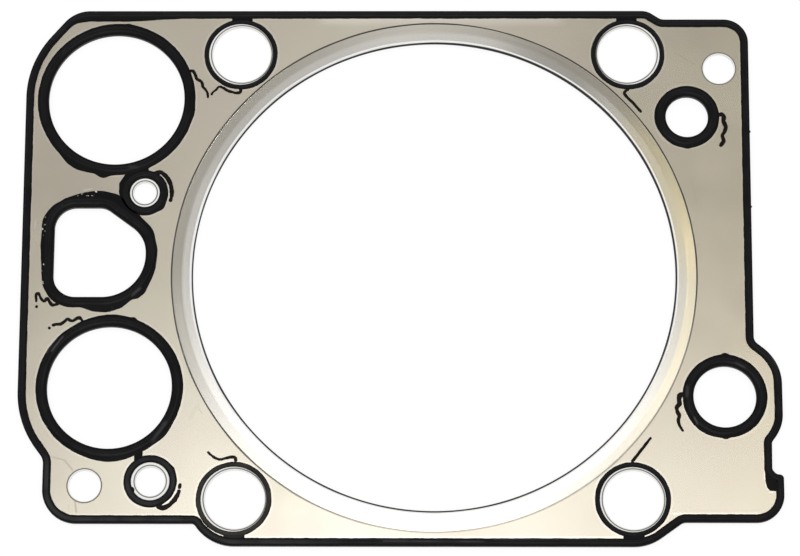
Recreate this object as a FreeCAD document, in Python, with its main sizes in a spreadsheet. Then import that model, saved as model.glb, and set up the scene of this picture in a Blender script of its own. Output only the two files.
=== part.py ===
"""Cylinder head gasket for one cylinder of a heavy diesel engine.

A flat steel carrier sheet holds a separate steel fire ring in its large bore, and synthetic
rubber seals are moulded on to it: one runs round the rim and rings the four head bolt holes,
and four more line the oil and coolant ports. Each seal grips both faces of the sheet and
carries a rounded sealing lip on each side. Thin mould runners trail from the seals over the
upper face.

The origin is on the bore axis at mid thickness. +Z is up, +X runs to the side with the tab
and +Y to the side with the long straight edge. All sizes are in millimetres.
"""
import FreeCAD, Part
import math
import os
import Sketcher

V = FreeCAD.Vector

# Where a corner has less room than its radius wants, its arc takes this share of the room.
ROOM_USED = 0.999

SIZES = {
    # sheet, lips and runners, measured through the thickness
    "plate_thickness": 1.05,
    "skirt_height": 0.15,
    "lip_height": 0.4,
    "runner_height": 0.22,
    # widths of the mouldings, measured across the face
    "edge_cover": 0.5,
    "band_width": 2.15,
    "rim_lip_half": 0.75,
    "port_lip_half": 0.95,
    "small_lip_half": 0.7,
    "bolt_lip_half": 0.48,
    "runner_width": 0.75,
    "nub_radius": 1.0,
    # fire ring: its bore, and how far out from the bore each turn of its section lies
    "fire_bore_radius": 65.5,
    "fire_rim_width": 0.8,
    "fire_crest_width": 3.0,
    "fire_ring_width": 5.76,
    "fire_seat_gap": 0.04,
    "fire_rim_height": 0.6,
    "fire_crest_height": 0.74,
    "fire_foot_height": 0.49,
    "fire_bore_height": 0.25,
    "fire_rim_round": 0.5,
    "fire_crest_round": 4.0,
    "fire_foot_round": 0.14,
    # head bolt holes, their clearance from the fire ring, and the webs that tie them to the rim
    "bolt_radius": 8.0,
    "bolt_margin": 0.8,
    "bolt_seal_width": 1.3,
    "bolt_land": 0.6,
    "bolt_drop": 12.6,
    "web_width": 5.7,
    # upper edge: its land beyond the fire ring, and its step down on the right
    "top_land": 3.7,
    "top_step_drop": 2.5,
    "top_step_offset": 5.7,
    "top_step_run": 3.8,
    "top_step_radius": 5.0,
    "top_step_root_radius": 3.0,
    "top_right_radius": 6.7,
    # lower edge: its land beyond the fire ring, and the haunches that rise to the feet
    "bottom_land": 3.75,
    "right_foot_rise": 6.55,
    "right_haunch_offset": 4.05,
    "right_haunch_run": 9.15,
    "right_haunch_root_radius": 2.5,
    "left_foot_rise": 6.05,
    "left_haunch_offset": 6.6,
    "left_haunch_run": 4.2,
    "left_haunch_root_radius": 1.2,
    "haunch_radius": 12.65,
    # right edge: its land beyond the fire ring, then the bulge, the notch and the tab
    "right_land": 15.4,
    "right_ease": 0.45,
    "bulge_land": 4.06,
    "bulge_root_run": 5.7,
    "bulge_root_radius": 2.4,
    "bulge_top_rise": 9.7,
    "bulge_top_radius": 12.7,
    "bulge_low_drop": 8.1,
    "bulge_low_radius": 10.5,
    "notch_depth": 3.1,
    "notch_drop": 4.3,
    "notch_radius": 1.5,
    "notch_length": 8.3,
    "tab_depth": 2.95,
    "tab_run": 2.0,
    "tab_root_radius": 2.0,
    "tab_crest_radius": 3.0,
    "bottom_right_radius": 7.5,
    # left edge: its land beyond the lower left port, then the shoulder, the hip and the foot
    "left_land": 8.2,
    "left_ease": 0.4,
    "left_shoulder_drop": 15.0,
    "left_shoulder_radius": 26.9,
    "top_left_run": 12.9,
    "top_left_radius": 9.2,
    "left_hip_drop": 9.8,
    "left_hip_radius": 26.1,
    "left_foot_drop": 9.86,
    "left_foot_radius": 4.0,
    "left_foot_step": 7.8,
    "bottom_left_radius": 9.2,
    # thicker stretch of the rim seal and its pad on the tab
    "thick_width": 3.0,
    "thick_start_width": 2.8,
    "thick_start_run": 15.5,
    "thick_length": 13.0,
    "thick_fade": 14.0,
    "tab_pad_drop": 0.3,
    "tab_pad_length": 4.7,
    "tab_pad_width": 4.95,
    "tab_pad_radius": 0.8,
    "tab_pad_edge_radius": 0.2,
    "tab_pad_taper": 1.2,
    "tab_pad_taper_rise": 2.4,
    "tab_pad_taper_radius": 0.4,
    # locating holes, from the edges of the feet and of the step
    "dowel_right_run": 8.25,
    "dowel_right_drop": 14.25,
    "dowel_left_run": 11.3,
    "dowel_left_rise": 10.2,
    "dowel_radius": 4.25,
    # upper left port and the small hole below it
    "upper_left_radius": 18.7,
    "upper_left_width": 3.0,
    "upper_left_side": 6.3,
    "upper_left_top": 6.95,
    "upper_left_nub": 1.1,
    "upper_small_radius": 3.05,
    "upper_small_margin": 1.0,
    "upper_small_width": 2.35,
    "upper_small_drop": 8.05,
    "upper_small_land": 4.57,
    "neck_left": 5.2,
    "neck_right": 0.9,
    "neck_rise": 8.3,
    # flat sided port: it fills the room between the ports above and below it
    "flat_side": 9.0,
    "flat_web": 7.2,
    "flat_drop": 12.25,
    "flat_land": 2.25,
    "flat_slope_run": 11.2,
    "flat_slope_drop": 8.3,
    "flat_left_radius": 6.0,
    "flat_top_radius": 5.0,
    "flat_slope_radius": 9.0,
    "flat_right_radius": 11.8,
    "flat_seal_left": 3.9,
    "flat_seal_right": 3.1,
    "flat_seal_top": 4.4,
    "flat_seal_low": 3.0,
    "flat_seal_slope_run": 9.2,
    "flat_seal_slope_drop": 4.65,
    "flat_seal_corner_radius": 9.0,
    "flat_seal_right_radius": 14.5,
    "flat_lip_inset": 1.6,
    # lower left port and the small hole below it
    "lower_left_radius": 16.85,
    "lower_left_width": 3.0,
    "lower_left_rise": 17.25,
    "lower_left_land": 1.94,
    "lower_left_nub": 0.6,
    "lower_small_radius": 3.95,
    "lower_small_margin": 1.2,
    "lower_small_width": 1.85,
    "lower_small_run": 11.6,
    "lower_small_rise": 11.4,
    "tie_left": 4.45,
    "tie_right": 2.15,
    "tie_rise": 9.0,
    # ports on the right, and their clearance from the fire ring
    "upper_right_radius": 5.82,
    "upper_right_width": 3.05,
    "upper_right_land": 2.19,
    "upper_right_drop": 18.05,
    "upper_right_nub": 0.3,
    "lower_right_radius": 8.44,
    "lower_right_width": 2.9,
    "lower_right_land": 2.71,
    "lower_right_rise": 34.2,
    "lower_right_top_nub": 0.8,
    "lower_right_low_nub": 0.4,
}

# Places that follow from the sizes. Each reach is an edge's distance from the bore axis, and
# each x and y a distance to one side of it.
PLACES = {
    "fire_rim_radius": "fire_bore_radius + fire_rim_width",
    "fire_crest_radius": "fire_bore_radius + fire_crest_width",
    "fire_ring_radius": "fire_bore_radius + fire_ring_width",
    "fire_seat_radius": "fire_ring_radius + fire_seat_gap",
    "top_reach": "fire_seat_radius + top_land",
    "top_step_reach": "top_reach - top_step_drop",
    "bottom_reach": "fire_seat_radius + bottom_land",
    "foot_right_reach": "bottom_reach - right_foot_rise",
    "foot_left_reach": "bottom_reach - left_foot_rise",
    "right_reach": "fire_seat_radius + right_land",
    "bolt_ring_radius": "bolt_radius + bolt_margin + bolt_seal_width",
    "bolt_distance": "fire_seat_radius + bolt_land + bolt_ring_radius",
    "bolt_y": "top_reach - bolt_drop",
    "bolt_x": "sqrt(bolt_distance ^ 2 - bolt_y ^ 2)",
    "upper_right_ring_radius": "upper_right_radius + upper_right_width",
    "upper_right_distance": "fire_seat_radius + upper_right_land + upper_right_ring_radius",
    "upper_right_y": "bolt_y - upper_right_drop",
    "upper_right_x": "sqrt(upper_right_distance ^ 2 - upper_right_y ^ 2)",
    "lower_right_ring_radius": "lower_right_radius + lower_right_width",
    "lower_right_distance": "fire_seat_radius + lower_right_land + lower_right_ring_radius",
    "lower_right_y": "foot_right_reach - lower_right_rise",
    "lower_right_x": "sqrt(lower_right_distance ^ 2 - lower_right_y ^ 2)",
    "bulge_reach": "lower_right_x + lower_right_ring_radius + bulge_land",
    "bulge_top_y": "lower_right_y - bulge_top_rise",
    "bulge_root_y": "bulge_top_y - bulge_root_run",
    "bulge_low_y": "lower_right_y + bulge_low_drop",
    "notch_reach": "bulge_reach - notch_depth",
    "notch_y": "bulge_low_y + notch_drop",
    "tab_reach": "notch_reach + tab_depth",
    "tab_root_y": "notch_y + notch_length",
    "tab_crest_y": "tab_root_y + tab_run",
    "tab_pad_top_y": "tab_root_y + tab_pad_drop",
    "tab_pad_low_y": "tab_pad_top_y + tab_pad_length",
    "top_step_x": "bolt_x + top_step_offset",
    "right_haunch_x": "bolt_x + right_haunch_offset",
    "right_haunch_root_x": "right_haunch_x + right_haunch_run",
    "left_haunch_x": "bolt_x + left_haunch_offset",
    "left_haunch_root_x": "left_haunch_x + left_haunch_run",
    "lower_left_ring_radius": "lower_left_radius + lower_left_width",
    "lower_left_distance": "fire_seat_radius + lower_left_land + lower_left_ring_radius",
    "lower_left_y": "foot_left_reach - lower_left_ring_radius - lower_left_rise",
    "lower_left_x": "sqrt(lower_left_distance ^ 2 - lower_left_y ^ 2)",
    "left_reach": "lower_left_x + lower_left_radius + left_land",
    "left_shoulder_y": "top_reach - left_shoulder_drop",
    "top_left_x": "left_reach - top_left_run",
    "left_hip_y": "lower_left_y + left_hip_drop",
    "left_foot_y": "left_hip_y + left_foot_drop",
    "left_foot_reach": "left_reach - left_foot_step",
    "thick_start_x": "left_reach - thick_start_run",
    "thick_end_x": "thick_start_x - thick_length",
    "thick_fade_x": "thick_end_x - thick_fade",
    "dowel_right_x": "right_reach - dowel_right_run",
    "dowel_right_y": "top_step_reach - dowel_right_drop",
    "dowel_left_x": "left_foot_reach - dowel_left_run",
    "dowel_left_y": "foot_left_reach - dowel_left_rise",
    "upper_left_x": "left_reach - upper_left_radius - upper_left_side",
    "upper_left_y": "top_reach - upper_left_radius - upper_left_top",
    "upper_small_ring_radius": "upper_small_radius + upper_small_margin + upper_small_width",
    "upper_small_distance": "fire_seat_radius + upper_small_land + upper_small_ring_radius",
    "upper_small_y": "upper_left_y - upper_left_radius - upper_small_drop",
    "upper_small_x": "sqrt(upper_small_distance ^ 2 - upper_small_y ^ 2)",
    "flat_left_x": "left_reach - flat_side",
    "flat_right_x": "fire_seat_radius + flat_web",
    "flat_top_y": "upper_left_y - upper_left_radius - flat_drop",
    "flat_low_y": "lower_left_y - lower_left_ring_radius - flat_land - flat_seal_low",
    "flat_slope_x": "flat_right_x + flat_slope_run",
    "flat_slope_y": "flat_top_y - flat_slope_drop",
    "flat_seal_slope_x": "flat_right_x + flat_seal_slope_run",
    "flat_seal_slope_y": "flat_top_y - flat_seal_slope_drop",
    "lower_small_x": "lower_left_x - lower_small_run",
    "lower_small_y": "foot_left_reach - lower_small_rise",
}

# Runners: how far beyond the edge of its ring each bend lies, and at what angle in degrees.
UPPER_LEFT_RUNNER = [(-0.6, 23), (0.9, 21.9), (1.6, 20.5), (1.5, 16.7), (2.3, 14.3), (2.6, 12.7),
                     (2.5, 9.9), (3.0, 7.3), (3.3, 4.9), (3.4, 1.9)]
UPPER_SMALL_RUNNER = [(-0.6, 64), (1.3, 55), (1.35, 44), (1.35, 29.8), (1.3, 18.2), (1.0, 3.1),
                      (0.9, -8.8), (0.8, -16.9)]
FLAT_RUNNER = [(-0.6, -119.7), (0.7, -125.3), (0.4, -135.9), (1.2, -139.8), (1.1, -150.4),
               (1.8, -152.5), (3.1, -143.4), (3.9, -138.1)]
LOWER_LEFT_RUNNER = [(-0.6, 113.1), (1.3, 113.5), (1.8, 115.6), (1.5, 120.2), (2.6, 122.4),
                     (2.5, 128.2), (3.6, 130.9), (3.7, 133.4), (3.6, 135.3)]
LOWER_SMALL_RUNNER = [(-0.6, -69.9), (1.3, -63.7), (1.4, -50.5), (1.2, -36.6), (1.0, -21.9),
                      (1.0, -5)]
UPPER_RIGHT_RUNNER = [(-0.6, 1.6), (0.6, 4.5), (1.2, -0.3), (1.2, -7.7), (2.1, -15), (2.2, -23.1),
                      (2.1, -29.1), (3.1, -34.7), (3.3, -39.9), (3.4, -44.2)]
LOWER_RIGHT_RUNNER = [(-0.6, 175.9), (0.7, 176.6), (0.9, -176.7), (0.9, -173), (1.7, -169),
                      (2.0, -165.7), (1.9, -160.7), (2.1, -156.4), (2.9, -153.3), (3.2, -148.9),
                      (3.3, -144.5), (3.3, -140.7)]
BOLT_RUNNERS = {
    ("-", ""): [(-0.6, -91.2), (0.9, -91.1), (0.9, -96.8), (0.9, -104.8), (0.9, -113.1),
                (0.8, -120.3), (0.9, -125.7), (3.5, -126.8), (4.1, -124.7)],
    ("-", "-"): [(-0.6, 88.9), (1.1, 91), (1.3, 95), (1.3, 103.7), (1.5, 111.3), (2.5, 116.4),
                 (3.8, 118.8), (4.6, 120.6)],
    ("", "-"): [(-0.6, 92.5), (3.5, 81), (7.6, 73.6)],
    ("", ""): [(-0.6, -86.5), (1.3, -94), (7.1, -77.3)],
}

doc = FreeCAD.newDocument("head_gasket")
sheet = doc.addObject("Spreadsheet::Sheet", "Sizes")
for row, (alias, value) in enumerate({**SIZES, **PLACES}.items(), start=1):
    sheet.set(f"A{row}", alias)
    sheet.set(f"B{row}", str(value) if alias in SIZES else f"={value}")
    sheet.setAlias(f"B{row}", alias)
doc.recompute()


def amount(expression):
    """The number that an expression on the sheet gives."""
    result = sheet.evalExpression(expression.replace("Sizes.", ""))
    return float(getattr(result, "Value", result))


def new_body(name):
    return doc.addObject("PartDesign::Body", name)


def new_sketch(owner, name, role="XY_Plane", offset=(None, None, None)):
    """A sketch on one of its body's own planes, moved along that plane's axes."""
    sketch = owner.newObject("Sketcher::SketchObject", name)
    plane = next(item for item in owner.Origin.OriginFeatures if item.Role == role)
    sketch.AttachmentSupport = [(plane, "")]
    sketch.MapMode = "FlatFace"
    for axis, expression in zip("xyz", offset):
        if expression:
            sketch.setExpression(f".AttachmentOffset.Base.{axis}", expression)
    return sketch


def bind(sketch, kind, target, expression):
    """One dimension of a sketch, tied to the sheet."""
    index = sketch.addConstraint(Sketcher.Constraint(kind, *target, amount(expression)))
    sketch.setExpression(f"Constraints[{index}]", expression)


def bind_point(sketch, target, point):
    bind(sketch, "DistanceX", target, point[0])
    bind(sketch, "DistanceY", target, point[1])


def draw_circles(sketch, circles):
    """Circles given by centre x, centre y and radius. One without a centre is round the origin."""
    for *place, radius in circles:
        centre = V(*map(amount, place)) if place else V()
        index = sketch.addGeometry(Part.Circle(centre, V(0, 0, 1), amount(radius)), False)
        if place:
            bind_point(sketch, (index, 3), place)
        else:
            sketch.addConstraint(Sketcher.Constraint("Coincident", index, 3, -1, 1))
        bind(sketch, "Radius", (index,), radius)


def draw_polygon(sketch, points):
    """A closed polygon with sharp corners."""
    corners = [V(amount(x), amount(y), 0) for x, y in points]
    count = len(corners)
    first = sketch.GeometryCount
    for start, end in zip(corners, corners[1:] + corners[:1]):
        sketch.addGeometry(Part.LineSegment(start, end), False)
    for index, point in enumerate(points):
        before = first + (index - 1) % count
        sketch.addConstraint(Sketcher.Constraint("Coincident", before, 2, first + index, 1))
        bind_point(sketch, (first + index, 1), point)


def draw_rounded(sketch, corners):
    """A closed outline of straight edges whose corners (x, y, radius) are rounded.

    Construction lines run between the sharp corners, and each edge lies on one of them, so the
    corners and radii are the only sizes. An arc is no larger than the edges beside it allow.
    """
    sharp = [V(amount(x), amount(y), 0) for x, y, _ in corners]
    count = len(sharp)
    half_angles, lengths = [], []
    for index, corner in enumerate(sharp):
        back = sharp[index - 1] - corner
        ahead = sharp[(index + 1) % count] - corner
        half_angles.append(back.getAngle(ahead) / 2)
        lengths.append(ahead.Length)
    wanted = [amount(radius) / math.tan(half) for (_, _, radius), half in zip(corners, half_angles)]
    arcs = []
    for index, corner in enumerate(sharp):
        room = min(lengths[index - 1] * wanted[index] / (wanted[index - 1] + wanted[index]),
                   lengths[index] * wanted[index] / (wanted[(index + 1) % count] + wanted[index]))
        tangent = min(wanted[index], room * ROOM_USED)
        radius = tangent * math.tan(half_angles[index])
        back = (sharp[index - 1] - corner).normalize()
        ahead = (sharp[(index + 1) % count] - corner).normalize()
        middle = corner + (back + ahead).normalize() * (radius / math.sin(half_angles[index]))
        turns_left = (corner - sharp[index - 1]).cross(sharp[(index + 1) % count] - corner).z > 0
        arcs.append((corner + back * tangent, corner + ahead * tangent, middle, radius, turns_left,
                     tangent < wanted[index]))
    for index in range(count):
        edge = Part.LineSegment(arcs[index][1], arcs[(index + 1) % count][0])
        sketch.addGeometry(edge, False)
    for entry, leave, middle, radius, turns_left, _ in arcs:
        start, end = (entry, leave) if turns_left else (leave, entry)
        circle = Part.Circle(middle, V(0, 0, 1), radius)
        angles = [math.atan2(point.y - middle.y, point.x - middle.x) for point in (start, end)]
        sketch.addGeometry(Part.ArcOfCircle(circle, *angles), False)
    for index in range(count):
        guide = Part.LineSegment(sharp[index], sharp[(index + 1) % count])
        sketch.addGeometry(guide, True)
    ties = []
    for index in range(count):
        before, arc, guide = (index - 1) % count, count + index, 2 * count + index
        start, end = (1, 2) if arcs[index][4] else (2, 1)
        ties.append(Sketcher.Constraint("Tangent", before, 2, arc, start))
        ties.append(Sketcher.Constraint("Tangent", index, 1, arc, end))
        ties.append(Sketcher.Constraint("Coincident", 2 * count + before, 2, guide, 1))
        ties.append(Sketcher.Constraint("PointOnObject", index, 1, guide))
        ties.append(Sketcher.Constraint("PointOnObject", index, 2, guide))
    sketch.addConstraint(ties)
    for index, (x, y, radius) in enumerate(corners):
        bind_point(sketch, (2 * count + index, 1), (x, y))
        if arcs[index][5]:
            sketch.addConstraint(Sketcher.Constraint("Radius", count + index, arcs[index][3]))
        else:
            bind(sketch, "Radius", (count + index,), radius)


def draw_lens(sketch, middle, half_width):
    """Section through a pair of lips: straight sides and an arched crest on each face."""
    skirt = "(Sizes.plate_thickness / 2 + Sizes.skirt_height)"
    rise = "(Sizes.lip_height - Sizes.skirt_height)"
    radius = f"({half_width} ^ 2 + {rise} ^ 2) / (2 * {rise})"
    right, left = f"{middle} + {half_width}", f"{middle} - {half_width}"
    centre_x, half, reach = amount(middle), amount(half_width), amount(skirt)
    arch = amount(radius)
    depth = reach + amount(rise) - arch
    lean = math.asin(half / arch)
    upright = math.pi / 2
    sketch.addGeometry([
        Part.LineSegment(V(centre_x + half, -reach, 0), V(centre_x + half, reach, 0)),
        Part.ArcOfCircle(Part.Circle(V(centre_x, depth, 0), V(0, 0, 1), arch),
                         upright - lean, upright + lean),
        Part.LineSegment(V(centre_x - half, reach, 0), V(centre_x - half, -reach, 0)),
        Part.ArcOfCircle(Part.Circle(V(centre_x, -depth, 0), V(0, 0, 1), arch),
                         -upright - lean, -upright + lean)], False)
    for index in range(4):
        sketch.addConstraint(Sketcher.Constraint("Coincident", index, 2, (index + 1) % 4, 1))
    bind_point(sketch, (0, 1), (right, f"-{skirt}"))
    bind_point(sketch, (0, 2), (right, skirt))
    bind_point(sketch, (2, 1), (left, skirt))
    bind_point(sketch, (2, 2), (left, f"-{skirt}"))
    bind(sketch, "Radius", (1,), radius)
    bind(sketch, "Radius", (3,), radius)


def offset_copy(body, name, outline, offset=None, filled=True):
    """The given outline inside another body, moved outwards by an offset if it has one."""
    copy = body.newObject("PartDesign::SubShapeBinder", name)
    copy.Support = [(outline, "")]
    copy.MakeFace = filled
    if offset:
        copy.setExpression("Offset", offset)
    return copy


def raise_both_ways(body, name, profile, height):
    feature = body.newObject("PartDesign::Pad", name)
    feature.Profile = profile
    feature.SideType = "Symmetric"
    feature.setExpression("Length", height)


def cut_both_ways(body, name, profile):
    feature = body.newObject("PartDesign::Pocket", name)
    feature.Profile = profile
    feature.SideType = "Symmetric"
    feature.setExpression("Length", THROUGH)


def raise_circles(body, name, circles, height):
    sketch = new_sketch(body, f"{name}_sketch")
    draw_circles(sketch, circles)
    raise_both_ways(body, name, sketch, height)


def cut_circles(body, name, circles):
    sketch = new_sketch(body, f"{name}_sketch")
    draw_circles(sketch, circles)
    cut_both_ways(body, name, sketch)


def raise_polygon(body, name, points, height):
    sketch = new_sketch(body, f"{name}_sketch")
    draw_polygon(sketch, points)
    raise_both_ways(body, name, sketch, height)


def spin(body, name, sketch):
    feature = body.newObject("PartDesign::Revolution", name)
    feature.Profile = sketch
    feature.ReferenceAxis = (sketch, ["V_Axis"])
    feature.Angle = 360


def ring_lip(body, name, centre, radius, half_width):
    """A pair of lips round a hole."""
    sketch = new_sketch(body, f"{name}_section", "XZ_Plane", (centre[0], None, f"-({centre[1]})"))
    draw_lens(sketch, radius, half_width)
    spin(body, name, sketch)


def swept_lip(body, name, section, path):
    """A pair of lips along a path."""
    feature = body.newObject("PartDesign::AdditivePipe", name)
    feature.Profile = section
    feature.Spine = (path, [])
    feature.Mode = "Standard"
    feature.Transition = "Round corner"


def nub(centre, edge_radius, angle, reach):
    """A small round swelling that stands out from the edge of a ring, as circle values."""
    distance = f"({edge_radius} + Sizes.{reach} - Sizes.nub_radius)"
    return (f"{centre[0]} + {distance} * {math.cos(math.radians(angle)):.4f}",
            f"{centre[1]} + {distance} * {math.sin(math.radians(angle)):.4f}",
            "Sizes.nub_radius")


def runner(centre, edge_radius, bends):
    """A thin strip over the upper face that trails from a ring."""
    middle = V(amount(centre[0]), amount(centre[1]), amount("plate_thickness / 2"))
    points = []
    for beyond, angle in bends:
        distance = amount(edge_radius) + beyond
        turn = math.radians(angle)
        points.append(middle + V(distance * math.cos(turn), distance * math.sin(turn), 0))
    edge = Part.makePolygon(points).makeOffset2D(amount("runner_width / 2"), 0, False, False, False)
    return Part.Face(edge).extrude(V(0, 0, amount("runner_height")))


def runner_feature(name, strips):
    feature = doc.addObject("Part::Feature", name)
    feature.Shape = Part.makeCompound(strips)
    return feature


def mould_on(label, blank, runners, plate):
    """Join a seal to its runners and let the sheet into it."""
    whole = doc.addObject("Part::MultiFuse", f"{label}_moulding")
    whole.Shapes = [blank, runners]
    whole.Refine = True
    seal = doc.addObject("Part::Cut", label)
    seal.Base = whole
    seal.Tool = plate
    seal.Refine = True
    seal.Label = label
    return seal


# Full height of a skirt, and a depth that cuts through the lips on both faces.
SKIRT = "Sizes.plate_thickness + 2 * Sizes.skirt_height"
THROUGH = "Sizes.plate_thickness + 4 * Sizes.lip_height"
LOCAL = {
    "upper_left": ("-Sizes.upper_left_x", "Sizes.upper_left_y"),
    "upper_small": ("-Sizes.upper_small_x", "Sizes.upper_small_y"),
    "lower_left": ("-Sizes.lower_left_x", "-Sizes.lower_left_y"),
    "lower_small": ("-Sizes.lower_small_x", "-Sizes.lower_small_y"),
    "upper_right": ("Sizes.upper_right_x", "Sizes.upper_right_y"),
    "lower_right": ("Sizes.lower_right_x", "-Sizes.lower_right_y"),
}
BOLTS = [(f"{side_x}Sizes.bolt_x", f"{side_y}Sizes.bolt_y") for side_x, side_y in BOLT_RUNNERS]


def gasket_outline():
    """Outer edge of the rim seal, clockwise from the upper left shoulder."""
    outline = doc.addObject("Sketcher::SketchObject", "gasket_outline")
    draw_rounded(outline, [
        ("-Sizes.left_reach", "Sizes.left_shoulder_y", "Sizes.left_shoulder_radius"),
        ("-Sizes.top_left_x", "Sizes.top_reach", "Sizes.top_left_radius"),
        ("Sizes.top_step_x", "Sizes.top_reach", "Sizes.top_step_radius"),
        ("Sizes.top_step_x + Sizes.top_step_run", "Sizes.top_step_reach",
         "Sizes.top_step_root_radius"),
        ("Sizes.right_reach", "Sizes.top_step_reach", "Sizes.top_right_radius"),
        ("Sizes.right_reach - Sizes.right_ease", "-Sizes.bulge_root_y", "Sizes.bulge_root_radius"),
        ("Sizes.bulge_reach", "-Sizes.bulge_top_y", "Sizes.bulge_top_radius"),
        ("Sizes.bulge_reach", "-Sizes.bulge_low_y", "Sizes.bulge_low_radius"),
        ("Sizes.notch_reach", "-Sizes.notch_y", "Sizes.notch_radius"),
        ("Sizes.notch_reach", "-Sizes.tab_root_y", "Sizes.tab_root_radius"),
        ("Sizes.tab_reach", "-Sizes.tab_crest_y", "Sizes.tab_crest_radius"),
        ("Sizes.tab_reach", "-Sizes.foot_right_reach", "Sizes.bottom_right_radius"),
        ("Sizes.right_haunch_root_x", "-Sizes.foot_right_reach", "Sizes.right_haunch_root_radius"),
        ("Sizes.right_haunch_x", "-Sizes.bottom_reach", "Sizes.haunch_radius"),
        ("-Sizes.left_haunch_x", "-Sizes.bottom_reach", "Sizes.haunch_radius"),
        ("-Sizes.left_haunch_root_x", "-Sizes.foot_left_reach", "Sizes.left_haunch_root_radius"),
        ("-Sizes.left_foot_reach", "-Sizes.foot_left_reach", "Sizes.bottom_left_radius"),
        ("-Sizes.left_foot_reach", "-Sizes.left_foot_y", "Sizes.left_foot_radius"),
        ("-Sizes.left_reach + Sizes.left_ease", "-Sizes.left_hip_y", "Sizes.left_hip_radius"),
    ])
    return outline


def flat_port_outline():
    """The flat sided port: a round hole with its left side squared off and one corner cut."""
    outline = doc.addObject("Sketcher::SketchObject", "flat_port_outline")
    draw_rounded(outline, [
        ("-Sizes.flat_left_x", "Sizes.flat_top_y", "Sizes.flat_left_radius"),
        ("-Sizes.flat_slope_x", "Sizes.flat_top_y", "Sizes.flat_top_radius"),
        ("-Sizes.flat_right_x", "Sizes.flat_slope_y", "Sizes.flat_slope_radius"),
        ("-Sizes.flat_right_x", "-Sizes.flat_low_y", "Sizes.flat_right_radius"),
        ("-Sizes.flat_left_x", "-Sizes.flat_low_y", "Sizes.flat_left_radius"),
    ])
    return outline


def carrier_plate(outline, flat_port):
    """The steel sheet, with a seat for the fire ring and every hole through it."""
    body = new_body("carrier_plate")
    raise_both_ways(body, "blank", offset_copy(body, "sheet_edge", outline, "-Sizes.edge_cover"),
                    "Sizes.plate_thickness")
    cut_circles(body, "fire_ring_seat", [("Sizes.fire_seat_radius",)])
    lined = [(*LOCAL[port], f"Sizes.{port}_radius + Sizes.edge_cover")
             for port in ("upper_left", "lower_left", "upper_right", "lower_right")]
    cut_circles(body, "port_holes", lined)
    bare = [(*LOCAL[port], f"Sizes.{port}_radius") for port in ("upper_small", "lower_small")]
    cut_circles(body, "small_holes", bare)
    cut_circles(body, "bolt_holes", [(*place, "Sizes.bolt_radius") for place in BOLTS])
    cut_circles(body, "dowel_holes", [
        ("Sizes.dowel_right_x", "Sizes.dowel_right_y", "Sizes.dowel_radius"),
        ("-Sizes.dowel_left_x", "-Sizes.dowel_left_y", "Sizes.dowel_radius")])
    cut_both_ways(body, "flat_port_hole",
                  offset_copy(body, "flat_port_edge", flat_port, "Sizes.edge_cover"))
    return body


def fire_ring():
    """The steel ring round the bore: roof shaped on both faces, with a rolled inner edge."""
    body = new_body("fire_ring")
    section = new_sketch(body, "fire_ring_section", "XZ_Plane")
    upper = [
        ("Sizes.fire_bore_radius", "Sizes.fire_bore_height", "Sizes.fire_foot_round"),
        ("Sizes.fire_rim_radius", "Sizes.fire_rim_height", "Sizes.fire_rim_round"),
        ("Sizes.fire_crest_radius", "Sizes.fire_crest_height", "Sizes.fire_crest_round"),
        ("Sizes.fire_ring_radius", "Sizes.fire_foot_height", "Sizes.fire_foot_round"),
    ]
    lower = [(across, f"-{height}", round_off) for across, height, round_off in reversed(upper)]
    draw_rounded(section, upper + lower)
    spin(body, "ring", section)
    return body


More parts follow.
